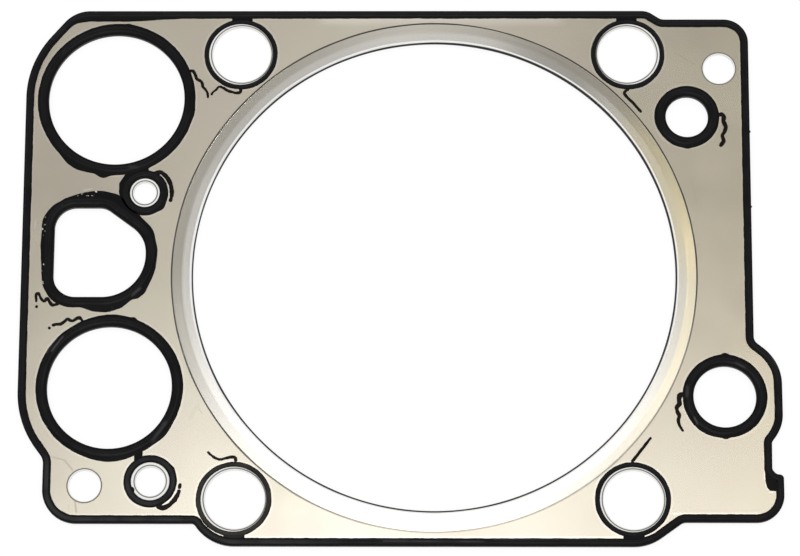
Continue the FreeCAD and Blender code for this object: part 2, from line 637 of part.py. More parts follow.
def rim_seal_blank(outline):
    """Rim band, pads and bolt rings before the sheet is let in."""
    body = new_body("rim_seal_blank")
    raise_both_ways(body, "band", offset_copy(body, "band_outside", outline), SKIRT)
    cut_both_ways(body, "band_opening",
                  offset_copy(body, "band_inside", outline, "-Sizes.band_width"))
    top = "Sizes.top_reach"
    raise_polygon(body, "thick_stretch", [
        ("-Sizes.thick_start_x - Sizes.band_width", f"{top} - Sizes.thick_start_width"),
        ("-Sizes.thick_start_x", f"{top} - Sizes.thick_width"),
        ("-Sizes.thick_end_x", f"{top} - Sizes.thick_width"),
        ("-Sizes.thick_fade_x", f"{top} - Sizes.band_width"),
        ("-Sizes.thick_fade_x", f"{top} - Sizes.band_width / 2"),
        ("-Sizes.thick_start_x", f"{top} - Sizes.band_width / 2")], SKIRT)
    pad_sketch = new_sketch(body, "tab_pad_sketch")
    inner = "Sizes.tab_reach - Sizes.tab_pad_width"
    draw_rounded(pad_sketch, [
        (inner, "-Sizes.tab_pad_top_y", "Sizes.tab_pad_edge_radius"),
        ("Sizes.tab_reach", "-Sizes.tab_pad_top_y", "Sizes.tab_pad_radius"),
        ("Sizes.tab_reach", "-Sizes.tab_pad_low_y", "Sizes.tab_pad_edge_radius"),
        (f"{inner} + Sizes.tab_pad_taper", "-Sizes.tab_pad_low_y", "Sizes.tab_pad_taper_radius"),
        (inner, "-Sizes.tab_pad_low_y + Sizes.tab_pad_taper_rise", "Sizes.tab_pad_taper_radius")])
    raise_both_ways(body, "tab_pad", pad_sketch, SKIRT)
    ring_edge = "Sizes.bolt_ring_radius"
    raise_circles(body, "bolt_rings", [(*place, ring_edge) for place in BOLTS], SKIRT)
    webs = new_sketch(body, "webs_sketch")
    for side_x, side_y in BOLT_RUNNERS:
        reach = "Sizes.bottom_reach" if side_y else "Sizes.top_reach"
        near, far = f"{side_y}Sizes.bolt_y", f"{side_y}({reach} - Sizes.band_width / 2)"
        left = f"{side_x}Sizes.bolt_x - Sizes.web_width / 2"
        right = f"{side_x}Sizes.bolt_x + Sizes.web_width / 2"
        draw_polygon(webs, [(left, near), (right, near), (right, far), (left, far)])
    raise_both_ways(body, "webs", webs, SKIRT)
    path = offset_copy(body, "lip_path", outline, "-Sizes.band_width / 2", filled=False)
    section = new_sketch(body, "rim_lip_section", "YZ_Plane")
    draw_lens(section, "(Sizes.top_reach - Sizes.band_width / 2)", "Sizes.rim_lip_half")
    swept_lip(body, "rim_lip", section, path)
    middle = "(Sizes.bolt_ring_radius - Sizes.bolt_seal_width / 2)"
    for number, place in enumerate(BOLTS, start=1):
        ring_lip(body, f"bolt_lip_{number}", place, middle, "Sizes.bolt_lip_half")
    cut_circles(body, "bolt_openings",
                [(*place, "Sizes.bolt_radius + Sizes.bolt_margin") for place in BOLTS])
    strips = [runner(place, ring_edge, bends)
              for place, bends in zip(BOLTS, BOLT_RUNNERS.values())]
    return body, runner_feature("rim_runners", strips)


def round_port_blank(name, port, nubs):
    """A ring seal that lines one round port, before the sheet is let in."""
    body = new_body(f"{name}_blank")
    centre, radius = LOCAL[port], f"Sizes.{port}_radius"
    edge = f"{radius} + Sizes.{port}_width"
    raise_circles(body, "skirt", [(*centre, edge)], SKIRT)
    for number, (angle, reach) in enumerate(nubs, start=1):
        raise_circles(body, f"nub_{number}", [nub(centre, edge, angle, reach)], SKIRT)
    ring_lip(body, "lip", centre, f"({radius} + Sizes.{port}_width / 2)", "Sizes.port_lip_half")
    return body


def add_small_ring(body, port):
    """A narrow ring set back from the edge of a small hole."""
    inner = f"Sizes.{port}_radius + Sizes.{port}_margin"
    raise_circles(body, "small_skirt", [(*LOCAL[port], f"{inner} + Sizes.{port}_width")], SKIRT)
    ring_lip(body, "small_lip", LOCAL[port], f"({inner} + Sizes.{port}_width / 2)",
             "Sizes.small_lip_half")
    return inner


def upper_left_blank(flat_port):
    """Seal for the upper left port, the small hole below it and the flat sided port."""
    body = round_port_blank("upper_left_seal", "upper_left", [(-98.8, "upper_left_nub")])
    inner = add_small_ring(body, "upper_small")
    small_x, small_y = LOCAL["upper_small"]
    raise_polygon(body, "neck", [
        (f"{small_x} - Sizes.neck_left", small_y), (f"{small_x} + Sizes.neck_right", small_y),
        (f"{small_x} + Sizes.neck_right", f"{small_y} + Sizes.neck_rise"),
        (f"{small_x} - Sizes.neck_left", f"{small_y} + Sizes.neck_rise")], SKIRT)
    skirt_sketch = new_sketch(body, "flat_skirt_sketch")
    left = "-Sizes.flat_left_x - Sizes.flat_seal_left"
    right = "-Sizes.flat_right_x + Sizes.flat_seal_right"
    high = "Sizes.flat_top_y + Sizes.flat_seal_top"
    low = "-Sizes.flat_low_y - Sizes.flat_seal_low"
    draw_rounded(skirt_sketch, [
        (left, high, "Sizes.flat_seal_corner_radius"),
        ("-Sizes.flat_seal_slope_x", high, "Sizes.flat_seal_corner_radius"),
        (right, "Sizes.flat_seal_slope_y", "Sizes.flat_seal_corner_radius"),
        (right, low, "Sizes.flat_seal_right_radius"),
        (left, low, "Sizes.flat_seal_corner_radius")])
    raise_both_ways(body, "flat_skirt", skirt_sketch, SKIRT)
    path = offset_copy(body, "flat_lip_path", flat_port, "Sizes.flat_lip_inset", filled=False)
    section = new_sketch(body, "flat_lip_section", "XZ_Plane", (None, None, "-Sizes.flat_lip_inset"))
    draw_lens(section, "(-Sizes.flat_left_x - Sizes.flat_lip_inset)", "Sizes.port_lip_half")
    swept_lip(body, "flat_lip", section, path)
    cut_circles(body, "round_openings", [
        (*LOCAL["upper_left"], "Sizes.upper_left_radius"), (*LOCAL["upper_small"], inner)])
    cut_both_ways(body, "flat_opening", offset_copy(body, "flat_edge", flat_port))
    corner = (f"{left} + Sizes.flat_seal_corner_radius", f"{low} + Sizes.flat_seal_corner_radius")
    strips = [
        runner(LOCAL["upper_left"], "upper_left_radius + upper_left_width", UPPER_LEFT_RUNNER),
        runner(LOCAL["upper_small"], f"{inner} + upper_small_width", UPPER_SMALL_RUNNER),
        runner(corner, "flat_seal_corner_radius", FLAT_RUNNER)]
    return body, runner_feature("upper_left_runners", strips)


def lower_left_blank():
    """Seal for the lower left port and the small hole below it."""
    body = round_port_blank("lower_left_seal", "lower_left", [(71.6, "lower_left_nub")])
    inner = add_small_ring(body, "lower_small")
    small_x, small_y = LOCAL["lower_small"]
    raise_polygon(body, "tie", [
        (f"{small_x} - Sizes.tie_left", small_y), (f"{small_x} - Sizes.tie_right", small_y),
        (f"{small_x} - Sizes.tie_right", f"{small_y} + Sizes.tie_rise"),
        (f"{small_x} - Sizes.tie_left", f"{small_y} + Sizes.tie_rise")], SKIRT)
    cut_circles(body, "round_openings", [
        (*LOCAL["lower_left"], "Sizes.lower_left_radius"), (*LOCAL["lower_small"], inner)])
    strips = [
        runner(LOCAL["lower_left"], "lower_left_radius + lower_left_width", LOWER_LEFT_RUNNER),
        runner(LOCAL["lower_small"], f"{inner} + lower_small_width", LOWER_SMALL_RUNNER)]
    return body, runner_feature("lower_left_runners", strips)


def right_blank(port, bends, nubs):
    """Seal for a single port on the right."""
    body = round_port_blank(f"{port}_seal", port, nubs)
    cut_circles(body, "opening", [(*LOCAL[port], f"Sizes.{port}_radius")])
    strips = [runner(LOCAL[port], f"{port}_radius + {port}_width", bends)]
    return body, runner_feature(f"{port}_runners", strips)


def check(objects):
    """Stop if any object of the document failed, or a piece is not one sound solid."""
    failed = [item.Name for item in doc.Objects if {"Invalid", "Error"} & set(item.State)]
    if failed:
        raise RuntimeError(f"failed objects: {failed}")
    for piece in objects:
        if piece.Shape.isNull() or not piece.Shape.isValid() or len(piece.Shape.Solids) != 1:
            raise RuntimeError(f"{piece.Label} is not one sound solid")


outline = gasket_outline()
flat_port = flat_port_outline()
plate = carrier_plate(outline, flat_port)
ring = fire_ring()
pieces = [
    plate,
    ring,
    mould_on("rim_seal", *rim_seal_blank(outline), plate),
    mould_on("upper_left_seal", *upper_left_blank(flat_port), plate),
    mould_on("lower_left_seal", *lower_left_blank(), plate),
    mould_on("upper_right_seal", *right_blank("upper_right", UPPER_RIGHT_RUNNER,
                                              [(-90, "upper_right_nub")]), plate),
    mould_on("lower_right_seal", *right_blank("lower_right", LOWER_RIGHT_RUNNER,
                                              [(89, "lower_right_top_nub"),
                                               (-89, "lower_right_low_nub")]), plate),
]
doc.recompute()
check(pieces)
os.makedirs("parts", exist_ok=True)
for piece in pieces:
    piece.Shape.exportStep(f"parts/{piece.Label}.step")
    print(piece.Label, round(piece.Shape.Volume, 1), len(piece.Shape.Faces), piece.Shape.BoundBox)
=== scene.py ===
"""Studio scene of a cylinder head gasket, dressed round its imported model.

The carrier sheet stays as packed and gets its finish. The fire ring and the five moulded seals
are made again here, smooth and with the small irregularities of the real mouldings, in the
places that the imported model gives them. Layout numbers are in millimetres, from the bore axis.
"""
import math

import bmesh
import bpy
from mathutils import Matrix, Vector


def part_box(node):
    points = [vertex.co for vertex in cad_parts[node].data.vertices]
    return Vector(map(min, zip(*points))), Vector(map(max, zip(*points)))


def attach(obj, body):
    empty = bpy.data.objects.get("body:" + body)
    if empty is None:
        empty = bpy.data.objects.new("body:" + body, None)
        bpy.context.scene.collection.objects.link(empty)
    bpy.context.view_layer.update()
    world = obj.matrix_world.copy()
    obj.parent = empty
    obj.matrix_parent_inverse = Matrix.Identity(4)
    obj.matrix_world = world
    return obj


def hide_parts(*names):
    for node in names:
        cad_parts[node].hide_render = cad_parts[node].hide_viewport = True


bl_info = {
    "name": "Cylinder Head Gasket",
    "version": (1, 0, 0),
    "blender": (4, 5, 0),
    "location": "View3D > Sidebar > Gasket",
    "description": "Moulded seals, formed fire ring, finishes and studio for the packed gasket",
    "category": "Object",
}

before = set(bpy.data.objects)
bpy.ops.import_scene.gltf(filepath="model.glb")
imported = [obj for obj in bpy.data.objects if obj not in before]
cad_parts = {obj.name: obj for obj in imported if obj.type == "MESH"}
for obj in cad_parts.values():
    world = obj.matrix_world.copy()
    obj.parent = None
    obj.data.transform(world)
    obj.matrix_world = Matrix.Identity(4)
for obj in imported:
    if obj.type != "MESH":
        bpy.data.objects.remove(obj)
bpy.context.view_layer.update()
PLATE_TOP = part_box("carrier_plate")[1].z
LIP_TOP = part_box("rim_seal")[1].z
BODY = "root"
MM = 0.001

# Outer edge of the rim seal, clockwise: where its straight runs meet, and the corner radius.
GASKET_EDGE = [
    (-112.5, 60, 26.9), (-99.6, 75, 9.2), (58.9, 75, 5), (62.7, 72.5, 3), (86.7, 72.5, 6.7),
    (86.25, -18.9, 2.4), (93.55, -24.6, 12.7), (93.55, -42.4, 10.5), (90.45, -46.7, 1.5),
    (90.35, -54.2, 1.2), (91.5, -55.5, 1.5), (93.4, -55.55, 1.1), (93.4, -68.5, 7.5),
    (66.4, -68.5, 2.5), (57.25, -75.05, 12.65), (-59.8, -75.05, 12.65), (-64, -69, 1.2),
    (-104.7, -69, 9.2), (-104.7, -51.56, 4), (-112.1, -41.7, 26.1)]
# The rim band is thicker above a height: x where that starts, is full, fades and ends, and by
# how much.
THICK_ABOVE, THICK_RUN, THICK_MORE = 70, (-103, -97, -84, -70), 0.85
# Hole of the flat sided port and the outer edge of its seal, counterclockwise.
FLAT_PORT = [
    (-103.5, -6.8, 6), (-78.5, -6.8, 11.8), (-78.5, 10.1, 9), (-89.7, 18.4, 5), (-103.5, 18.4, 6)]
FLAT_SEAL_EDGE = [
    (-107.2, 7.4, 12), (-106.9, 15.2, 5), (-104.4, 18.9, 6), (-100.4, 21.3, 8), (-95.3, 22.8, 9),
    (-90.7, 23.2, 7), (-86, 22, 5), (-80.4, 16.2, 9), (-76.4, 12, 7), (-75.2, 6, 12),
    (-75.9, 0.2, 12), (-78.6, -5.8, 2), (-80.2, -7.1, 1), (-82, -7.5, 1.5), (-84.7, -9.8, 2),
    (-88.4, -11.1, 7), (-92.4, -10.9, 5), (-95.4, -9.7, 4), (-99.8, -9.6, 5), (-103.8, -8, 6),
    (-106.5, -3.4, 7)]
FLAT_SEAL_STEP, FLAT_LIP_MIDDLE = 0.6, 1.6
# Round ports that a seal lines: centre, radius and width of the ring.
ROUND_PORTS = {
    "upper_left": (-87.5, 49.35, 18.7, 3.0),
    "lower_left": (-87.45, -31.9, 16.85, 3.0),
    "upper_right": (69.4, 44.35, 5.82, 3.05),
    "lower_right": (78.15, -34.3, 8.44, 2.9),
}
# Rings set back from the edge of a hole: centre, inner radius and width.
SMALL_RINGS = {
    "upper_left": (-79.1, 22.6, 4.05, 2.35),
    "lower_left": (-75.85, -57.6, 5.15, 1.95),
}
BOLT_HOLES = [(x, y) for y in (62.4, -62.4) for x in (-53.2, 53.2)]
# Rings round the bolt holes sit a little off the middle: inner radius, width, and the shifts.
BOLT_RING = (8.8, 1.3)
BOLT_SHIFTS = [-0.22, 0.2, -0.25, -0.15]
# Webs from the bolt rings to the rim: half width, start beyond the bolt, upper and lower end.
WEB_HALF, WEB_START, WEB_TOP, WEB_FOOT = 2.85, 9.2, 74.0, -74.05
# Flat pads of rubber on both faces, counterclockwise, and their height as a share of the skirt's.
PAD_SHARE = 0.96
TAB_PAD = [
    (89.6, -54.4), (88.4, -54.8), (88.45, -57.4), (88.8, -59), (89.6, -59.95), (92.4, -60.1),
    (92.4, -57.7), (91, -56.5), (90.1, -55.4)]
TIE_PADS = {
    "upper_left": [
        [(-83.4, 25.0), (-82.6, 27.2), (-78.2, 28.4), (-78.2, 30.9), (-84.6, 30.9),
         (-84.6, 27.9), (-85.3, 26.7), (-86.2, 25.3), (-86.2, 23.7)],
        [(-85.4, 19.7), (-84.1, 17.6), (-82.1, 16.3), (-80.6, 15.9), (-80.2, 17.2),
         (-81.5, 17.6), (-83.0, 18.7), (-84.0, 20.3)]],
    "lower_left": [[(-80.3, -53.6), (-78.0, -52.4), (-78.0, -48.6), (-80.3, -48.6)]],
}
# Swellings of a seal's outer edge: where, by how much, and over what distance.
SWELLINGS = {
    "upper_left": [(-98.5, 30, 0.95, 4.5), (-90.8, 27, 1.2, 1.8), (-84.5, 71.3, 0.25, 0.7),
        (-85, 71, 0.25, 14), (-66, 45.5, 0.2, 2)],
    "lower_left": [(-81.3, -13.2, 0.4, 0.7), (-102, -16.5, 0.25, 1.2), (-87, -11.9, 0.35, 7),
        (-86.5, -52.1, 0.55, 6), (-72.5, -45, 0.4, 3)],
    "upper_right": [(69.4, 35.3, 0.3, 0.9), (62.5, 38.6, -0.2, 3)],
    "lower_right": [(78.3, -22.9, 0.5, 0.9), (80, -22.8, 0.25, 7), (78.2, -45.8, 0.35, 0.8),
        (79.6, -45.9, -0.2, 0.5), (71.5, -44, 0.15, 3)],
    "upper_left_small": [(-73.9, 18.1, 0.5, 1.2), (-86.2, 23.6, 0.75, 2.6)],
    "lower_left_small": [(-69.9, -54.2, 0.25, 1)],
}
# Thin strips of flash that trail from the seals: width at the seal and at the far end, and path.
RUNNERS = {
    "upper_left": [
        (1, 0.7, [(-67.6, 57.7), (-66.5, 57.5), (-65.9, 56.3), (-65.5, 55.3), (-64.5, 54.7),
            (-64, 54), (-63.8, 53), (-63, 52.1), (-62.5, 51.2), (-62.3, 49.7)]),
        (1.3, 1.2, [(-76.8, 27.9), (-75.9, 28.3), (-74.8, 28.35), (-73.8, 27.7), (-72.7, 26.3),
            (-72, 24.6), (-71.75, 23), (-71.8, 21.2)]),
        (0.95, 0.75, [(-101.6, -8.5), (-103, -9), (-103.7, -8.9), (-104.9, -7.3), (-105.6, -7.9),
            (-106.3, -7.7), (-106.9, -6.8), (-107.3, -5.9), (-107.9, -6), (-107.95, -7.3),
            (-107.9, -8.3)])],
    "lower_left": [
        (0.95, 0.9, [(-95, -13.8), (-95.3, -13.3), (-96, -12.6), (-96.7, -12.8), (-97.9, -13.5),
            (-99.2, -13), (-99.9, -13.5), (-101.2, -14.4), (-102.4, -14.4), (-103.5, -14.8)]),
        (1.6, 1.1, [(-73.9, -63.9), (-73.3, -64.4), (-72.2, -64.8), (-71, -64.3), (-69.7, -63.2),
            (-68.8, -61.9), (-68.2, -60.6), (-67.95, -59.8)]),
        (0.95, 0.95, [(-68.1, -59.7), (-67.7, -58.1)])],
    "upper_right": [
        (1.2, 1.1, [(78, 44.7), (78.9, 45.1), (79.5, 44.3), (79.4, 43), (80, 41.5), (79.6, 40),
            (79, 39), (79.3, 37.5), (78.8, 36.5), (78.2, 35.8)])],
    "lower_right": [
        (1.5, 0.8, [(67.4, -33.6), (66.2, -33.9), (65.8, -35), (65.9, -36.2), (65.2, -37.3),
            (65.3, -38.3), (65.8, -39.5), (65.5, -40.7), (65.8, -42.1), (66.8, -43.9)])],
    "rim": [
        (0.9, 0.65, [(-53.5, 53), (-53.4, 51.5), (-54.4, 51.25), (-55.6, 51.45), (-57, 51.95),
            (-58.1, 52.65), (-59.3, 53), (-60.2, 52.1), (-61.2, 51.2), (-61.3, 50.5)]),
        (0.9, 0.65, [(-53, -52.3), (-53.2, -51.2), (-54.2, -51), (-55.9, -51.3), (-57.4, -51.6),
            (-58.8, -51.1), (-59.9, -50.2), (-60.7, -49.5)]),
        (0.9, 0.8, [(52.8, -52.4), (55.3, -49.1), (58.2, -45.4)]),
        (0.9, 0.8, [(53.7, 52.5), (52.4, 51), (54.8, 48.2), (57, 45.6)])],
}
# Loose beads of rubber, most at the ends of runners: where, and their radius.
BEADS = {
    "upper_left": [(-107.75, -9.5, 0.42), (-72.05, 20.5, 0.55), (-71.9, 21, 0.5)],
    "lower_left": [(-104.1, -15.45, 0.42), (-80.95, -60, 1)],
    "rim": [(86.45, 40.1, 0.35), (86.4, 18.7, 0.3)],
}
BEAD_LEVELS, BEAD_STEPS = 4, 20
# Half section of the fire ring, from the bore outwards: radius, height and rounding.
FIRE_RING = [(65.5, 0.25, 0.14), (66.1, 0.74, 0.4), (68.6, 0.69, 7.0), (71.26, 0.49, 0.14)]
RING_SECTION_STEP, RING_SHARP, SEAL_SHARP = 0.3, math.radians(40), math.radians(34)
LIPS = {"rim": 0.75, "port": 0.95, "small": 0.7, "bolt": 0.48}
LIP_STEPS, STRIP_STEPS = 10, 10
# Rings round the bolt holes and the small holes have closer sections than the long paths.
BOLT_CLOSER, SMALL_CLOSER = 0.7, 0.6
# A seal's edges: rounding and spread of the foot as shares of the edge cover, and where the
# rounding starts as a share of the skirt height.
EDGE_ROUND, FOOT_SPREAD, SHOULDER = 0.1, 0.12, 0.7
# Noise scales of the ragged edges and of a strip's path, width and crown.
RAGGED_NOISE, PATH_NOISE, WIDTH_NOISE, CROWN_NOISE = 420.0, 650.0, 700.0, 500.0
STRIP_WANDER, STRIP_STEP = 0.13 * MM, 0.09 * MM

# Strokes are a start, an end, a half width and a strength. Drag marks, and one broad painted
# shade.
SCRATCHES_AND_SHADE = [
    ((-95.9, -62.3), (-95.3, -66.6), 0.45, 0.6), ((-97.3, -63.5), (-97.6, -66), 0.3, 0.25),
    ((-102.9, -50.9), (-98.6, -51.9), 0.45, 0.4), ((-99.4, -51.4), (-96.3, -55), 0.5, 0.5),
    # The first stroke on the next line, with a half width of nine, is a broad painted shade round
    # the left of the dowel hole.
    ((-101.5, -48), (-101.5, -66.5), 9, 0.12), ((-63.6, -37.2), (-61.9, -39.6), 0.35, 0.25),
    ((-62.8, -35.4), (-66.2, -41.8), 0.9, 0.1), ((-66.8, 12.5), (-62.9, 12.1), 0.4, 0.15),
    ((66, 63), (72.5, 59.2), 0.25, 0.2), ((69.6, 28), (70.9, 23.4), 0.35, 0.12),
    ((70.8, 23.8), (72.1, 17.6), 0.35, 0.12)]
# Bright specks on the coating.
SPECKS = [
    ((80.3, 21), (81.3, 21.2), 0.35, 0.8), ((81.9, 22.3), (83.3, 21.7), 0.25, 0.4),
    ((-96.6, 23.2), (-93, 23.9), 0.3, 0.6), ((-109.2, 12), (-108.6, 15.5), 0.3, 0.4)]
# Painted highlights: thin bright halos along the mouldings, and a broad bright strip along the top
# edge.
HALOS = [
    ((-34, 72.6), (38, 72.6), 2.8, 0.7), ((84.15, -16), (84.35, 66), 0.45, 0.35),
    ((-66, 72.6), (56, 72.6), 0.4, 0.2), ((-57, -72.6), (55, -72.6), 0.5, 0.8),
    ((-110.05, -30), (-110.05, 48), 0.4, 0.3), ((-98, -66.6), (-62, -66.6), 0.4, 0.5),
    ((88.2, -49), (88.2, -57.6), 0.4, 0.8), ((88.2, -57.2), (89.2, -60.2), 0.4, 0.8),
    ((88.9, -60.25), (91.3, -60.35), 0.4, 0.8), ((63, -66.15), (87.6, -66.15), 0.45, 0.9),
    ((-74.8, 27.7), (-73, 25.3), 0.4, 1), ((-73.2, 25.9), (-72.35, 22.9), 0.4, 1),
    ((-72.4, 23.6), (-72.6, 20.2), 0.4, 1), ((-73.1, -64.5), (-69.9, -62.1), 0.35, 1),
    ((-70.4, -62.7), (-68.7, -59.3), 0.35, 1)]
RING_HALO = 0.35
# Painted glint streaks on the lips.
PAINTED_GLINTS = [
    ((-14, -73.7), (14, -73.8), 0.3, 0.5), ((15, -73.2), (43, -73.1), 0.25, 0.35),
    ((-30, -73.1), (-6, -73.2), 0.2, 0.35), ((68.2, -30.6), (67.75, -35.2), 0.75, 0.5),
    ((69.5, -39.5), (70.9, -42.4), 0.4, 1), ((-100, -17.4), (-103.6, -22.4), 0.45, 0.9),
    ((-102, -18), (-105, -23), 0.5, 0.4), ((-71.4, -40.6), (-76, -47.6), 0.9, 0.55),
    ((-79.2, -3.9), (-82.4, -6.9), 0.6, 0.6), ((89.6, -20.2), (92.5, -26.2), 0.6, 0.4),
    ((-80.4, 29.8), (-84.5, 29.9), 0.8, 0.3), ((80.5, -24.6), (84.2, -26.6), 0.6, 0.3),
    ((-101.3, 58.2), (-96, 64.6), 0.5, 0.3)]
# Bare land round the holes: centre and radius of the hole, and width of the land.
HOLE_LANDS = [(*place, 8.0, 0.95) for place in BOLT_HOLES] + [
    (-79.1, 22.6, 3.05, 1.2), (-75.85, -57.6, 3.95, 1.35), (78.45, 58.25, 4.25, 0.12),
    (-93.4, -58.8, 4.25, 0.12)]
# Painted shade and painted highlights on the fire ring, the third a straw painted reflection:
# centre, reach, core, strength on the inner and outer slope, colour.
RING_PAINTED_LIGHT = [
    ((33.0, 57.5), 22.0, 5.0, 0.75, 0.25, (0.55, 0.55, 0.54)),
    ((-43.4, 51.7), 40.0, 18.0, 0.27, 0.12, (0.55, 0.55, 0.54)),
    ((63.4, 23.1), 30.0, 13.0, 0.9, 0.9, (1.0, 0.955, 0.80)),
    ((-61.2, -28.5), 34.0, 14.0, 0.0, 0.65, (0.97, 0.97, 0.95))]
# Colours of marks and details beside those that the panel holds.
# The second of these paints bright halos and a highlight on the sheet; the first also paints one
# broad shade.
SCRATCH_AND_SHADE_TINT, HALO_TINT, SPECK_TINT = (0.42, 0.39, 0.33), (0.95, 0.93, 0.88), (1.0, 1.0, 0.97)
DRAG_TINT, LAND_TINT, LINE_TINT = (0.88, 0.86, 0.82), (0.93, 0.93, 0.91), (0.16, 0.15, 0.13)
HAZE_TINT, LAP_TINT = (0.62, 0.61, 0.57), (0.52, 0.51, 0.48)
# Painted highlight on the lower part of the fire ring, lightest on the inner slope.
LOW_INNER_HIGHLIGHT, LOW_OUTER_HIGHLIGHT = (1.0, 1.0, 1.0), (0.88, 0.87, 0.83)
# Painted highlight on the bore's rim, and painted shade on its wall.
RIM_HIGHLIGHT_TINT, WALL_SHADE_TINT = (0.95, 0.95, 0.94), (0.016, 0.015, 0.015)
# Tints of the painted glint streaks and of the painted sheen at the lower left.
GLINT_TINT, LOWER_LEFT_SHEEN_TINT = (0.075, 0.074, 0.078), (0.045, 0.045, 0.044)
# The first is the tint of a painted sheen; the flecks and the dust are the rubber's own.
BOLT_SHEEN_TINT, FLECK_TINT, DUST_TINT = (0.040, 0.038, 0.031), (0.72, 0.70, 0.62), (0.05, 0.05, 0.048)

# Lamps beside the large one: place, size, power and colour in metres and watts.
LAMPS = {
    "side_lamp": ((-0.33, -0.02, 1.2), (0.17, 0.22), 0.14, (1.0, 0.99, 0.97)),
    "warm_lamp": ((0.40, 0.20, 1.2), (0.22, 0.30), 0.30, (1.0, 0.90, 0.66)),
    "high_glint": ((-0.45, 0.62, 1.0), (0.03, 0.03), 0.16, (1.0, 1.0, 1.0)),
    "left_glint": ((-0.55, -0.10, 1.0), (0.03, 0.03), 0.16, (1.0, 1.0, 1.0)),
}
CAMERA_PLACE = (0.86, -221.06, 850.04)
CAMERA_AXES = ((0.99993357, 0.00342572, -0.01100497),
               (-0.00056204, 0.96816527, 0.25031120),
               (0.01151213, -0.25028838, 0.96810288))


def length(name, description, default):
    """A setting in units of length."""
    return bpy.props.FloatProperty(
        name=name, description=description, default=default, unit="LENGTH")


def tint(name, description, colour):
    """A colour setting."""
    return bpy.props.FloatVectorProperty(
        name=name, description=description, default=colour, subtype="COLOR", size=3,
        min=0, max=1)


class GasketSizes(bpy.types.PropertyGroup):
    """Sizes of the mouldings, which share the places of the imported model."""
    plate_top: length("Sheet face", "Height of the sheet's upper face above mid thickness",
                      PLATE_TOP)
    lip_top: length("Lip crest", "Height of the sealing lips above mid thickness", LIP_TOP)
    skirt_height: length("Skirt height", "How far the flat part of a seal stands on the sheet",
                         0.15 * MM)
    edge_cover: length("Edge cover", "Rubber between the edge of the sheet and the open",
                       0.5 * MM)
    band_width: length("Rim band", "Width of the band round the rim", 2.15 * MM)
    ragged: length("Ragged edge", "How far the moulded edges wander", 0.16 * MM)
    runner_scale: bpy.props.FloatProperty(
        name="Runner scale", description="Scales the widths of the trailing strips", default=1.0)
    runner_height: length("Runner height", "How far the trailing strips stand on the sheet",
                          0.24 * MM)
    path_step: length("Path step", "Distance between sections along a moulding", 0.45 * MM)
    ring_segments: bpy.props.IntProperty(
        name="Ring segments", description="Sections round the fire ring", default=720)
    seed: bpy.props.IntProperty(
        name="Seed", description="Picks the wander of the moulded edges", default=7)


class GasketColours(bpy.types.PropertyGroup):
    """Colours of the finishes."""
    sheet: tint("Sheet", "Coated steel of the carrier sheet", (0.748, 0.722, 0.632))
    sheet_warm: tint("Sheet, warm patches", "Warmer patches of the coating", (0.748, 0.706, 0.632))
    # Painted light: the inner slope gets a lit tone and the outer slope a shaded tone of the same
    # steel.
    ring_inner_lit: tint("Ring, inner slope", "Fire ring towards the bore", (0.90, 0.91, 0.91))
    ring_outer_shaded: tint("Ring, outer slope", "Fire ring towards the sheet", (0.75, 0.74, 0.70))
    joint: tint("Joint", "Grime in the joint round the ring", (0.06, 0.052, 0.040))
    rubber: tint("Rubber", "Moulded rubber", (0.0014, 0.0015, 0.0028))
    # Painted sheen: this tint lightens the crests of the lips.
    rubber_crest_sheen: tint("Rubber crest", "Crest of a sealing lip", (0.0032, 0.0034, 0.0056))
    runner: tint("Runner", "Thin flash on the sheet", (0.0045, 0.0030, 0.0018))
    floor: tint("Floor", "Studio floor", (0.9, 0.9, 0.9))


class GasketStudio(bpy.types.PropertyGroup):
    """Camera and lamps."""
    lens: bpy.props.FloatProperty(
        name="Lens", description="Focal length", default=145.49, unit="CAMERA")
    lamp_power: bpy.props.FloatProperty(
        name="Lamp power", description="Power of the large overhead lamp", default=1.28,
        unit="POWER")
    lamp_size: length("Lamp size", "Width of the overhead lamp", 0.50)
    surround: bpy.props.FloatProperty(
        name="Surround", description="Brightness of the room for matt surfaces", default=0.8)
    ceiling: bpy.props.FloatProperty(
        name="Ceiling", description="Brightness of the ceiling in reflections", default=0.37)


class Value:
    """A socket that stands in Python expressions and adds the Math nodes they need."""

    def __init__(self, nodes, socket):
        self.nodes, self.socket = nodes, socket

    def __add__(self, other):
        return self.nodes.math("ADD", self, other)

    def __sub__(self, other):
        return self.nodes.math("SUBTRACT", self, other)

    def __rsub__(self, other):
        return self.nodes.math("SUBTRACT", other, self)

    def __mul__(self, other):
        return self.nodes.math("MULTIPLY", self, other)

    def __truediv__(self, other):
        return self.nodes.math("DIVIDE", self, other)

    def __pow__(self, other):
        return self.nodes.math("POWER", self, other)

    def __abs__(self):
        return self.nodes.math("ABSOLUTE", self)

    __radd__, __rmul__ = __add__, __mul__


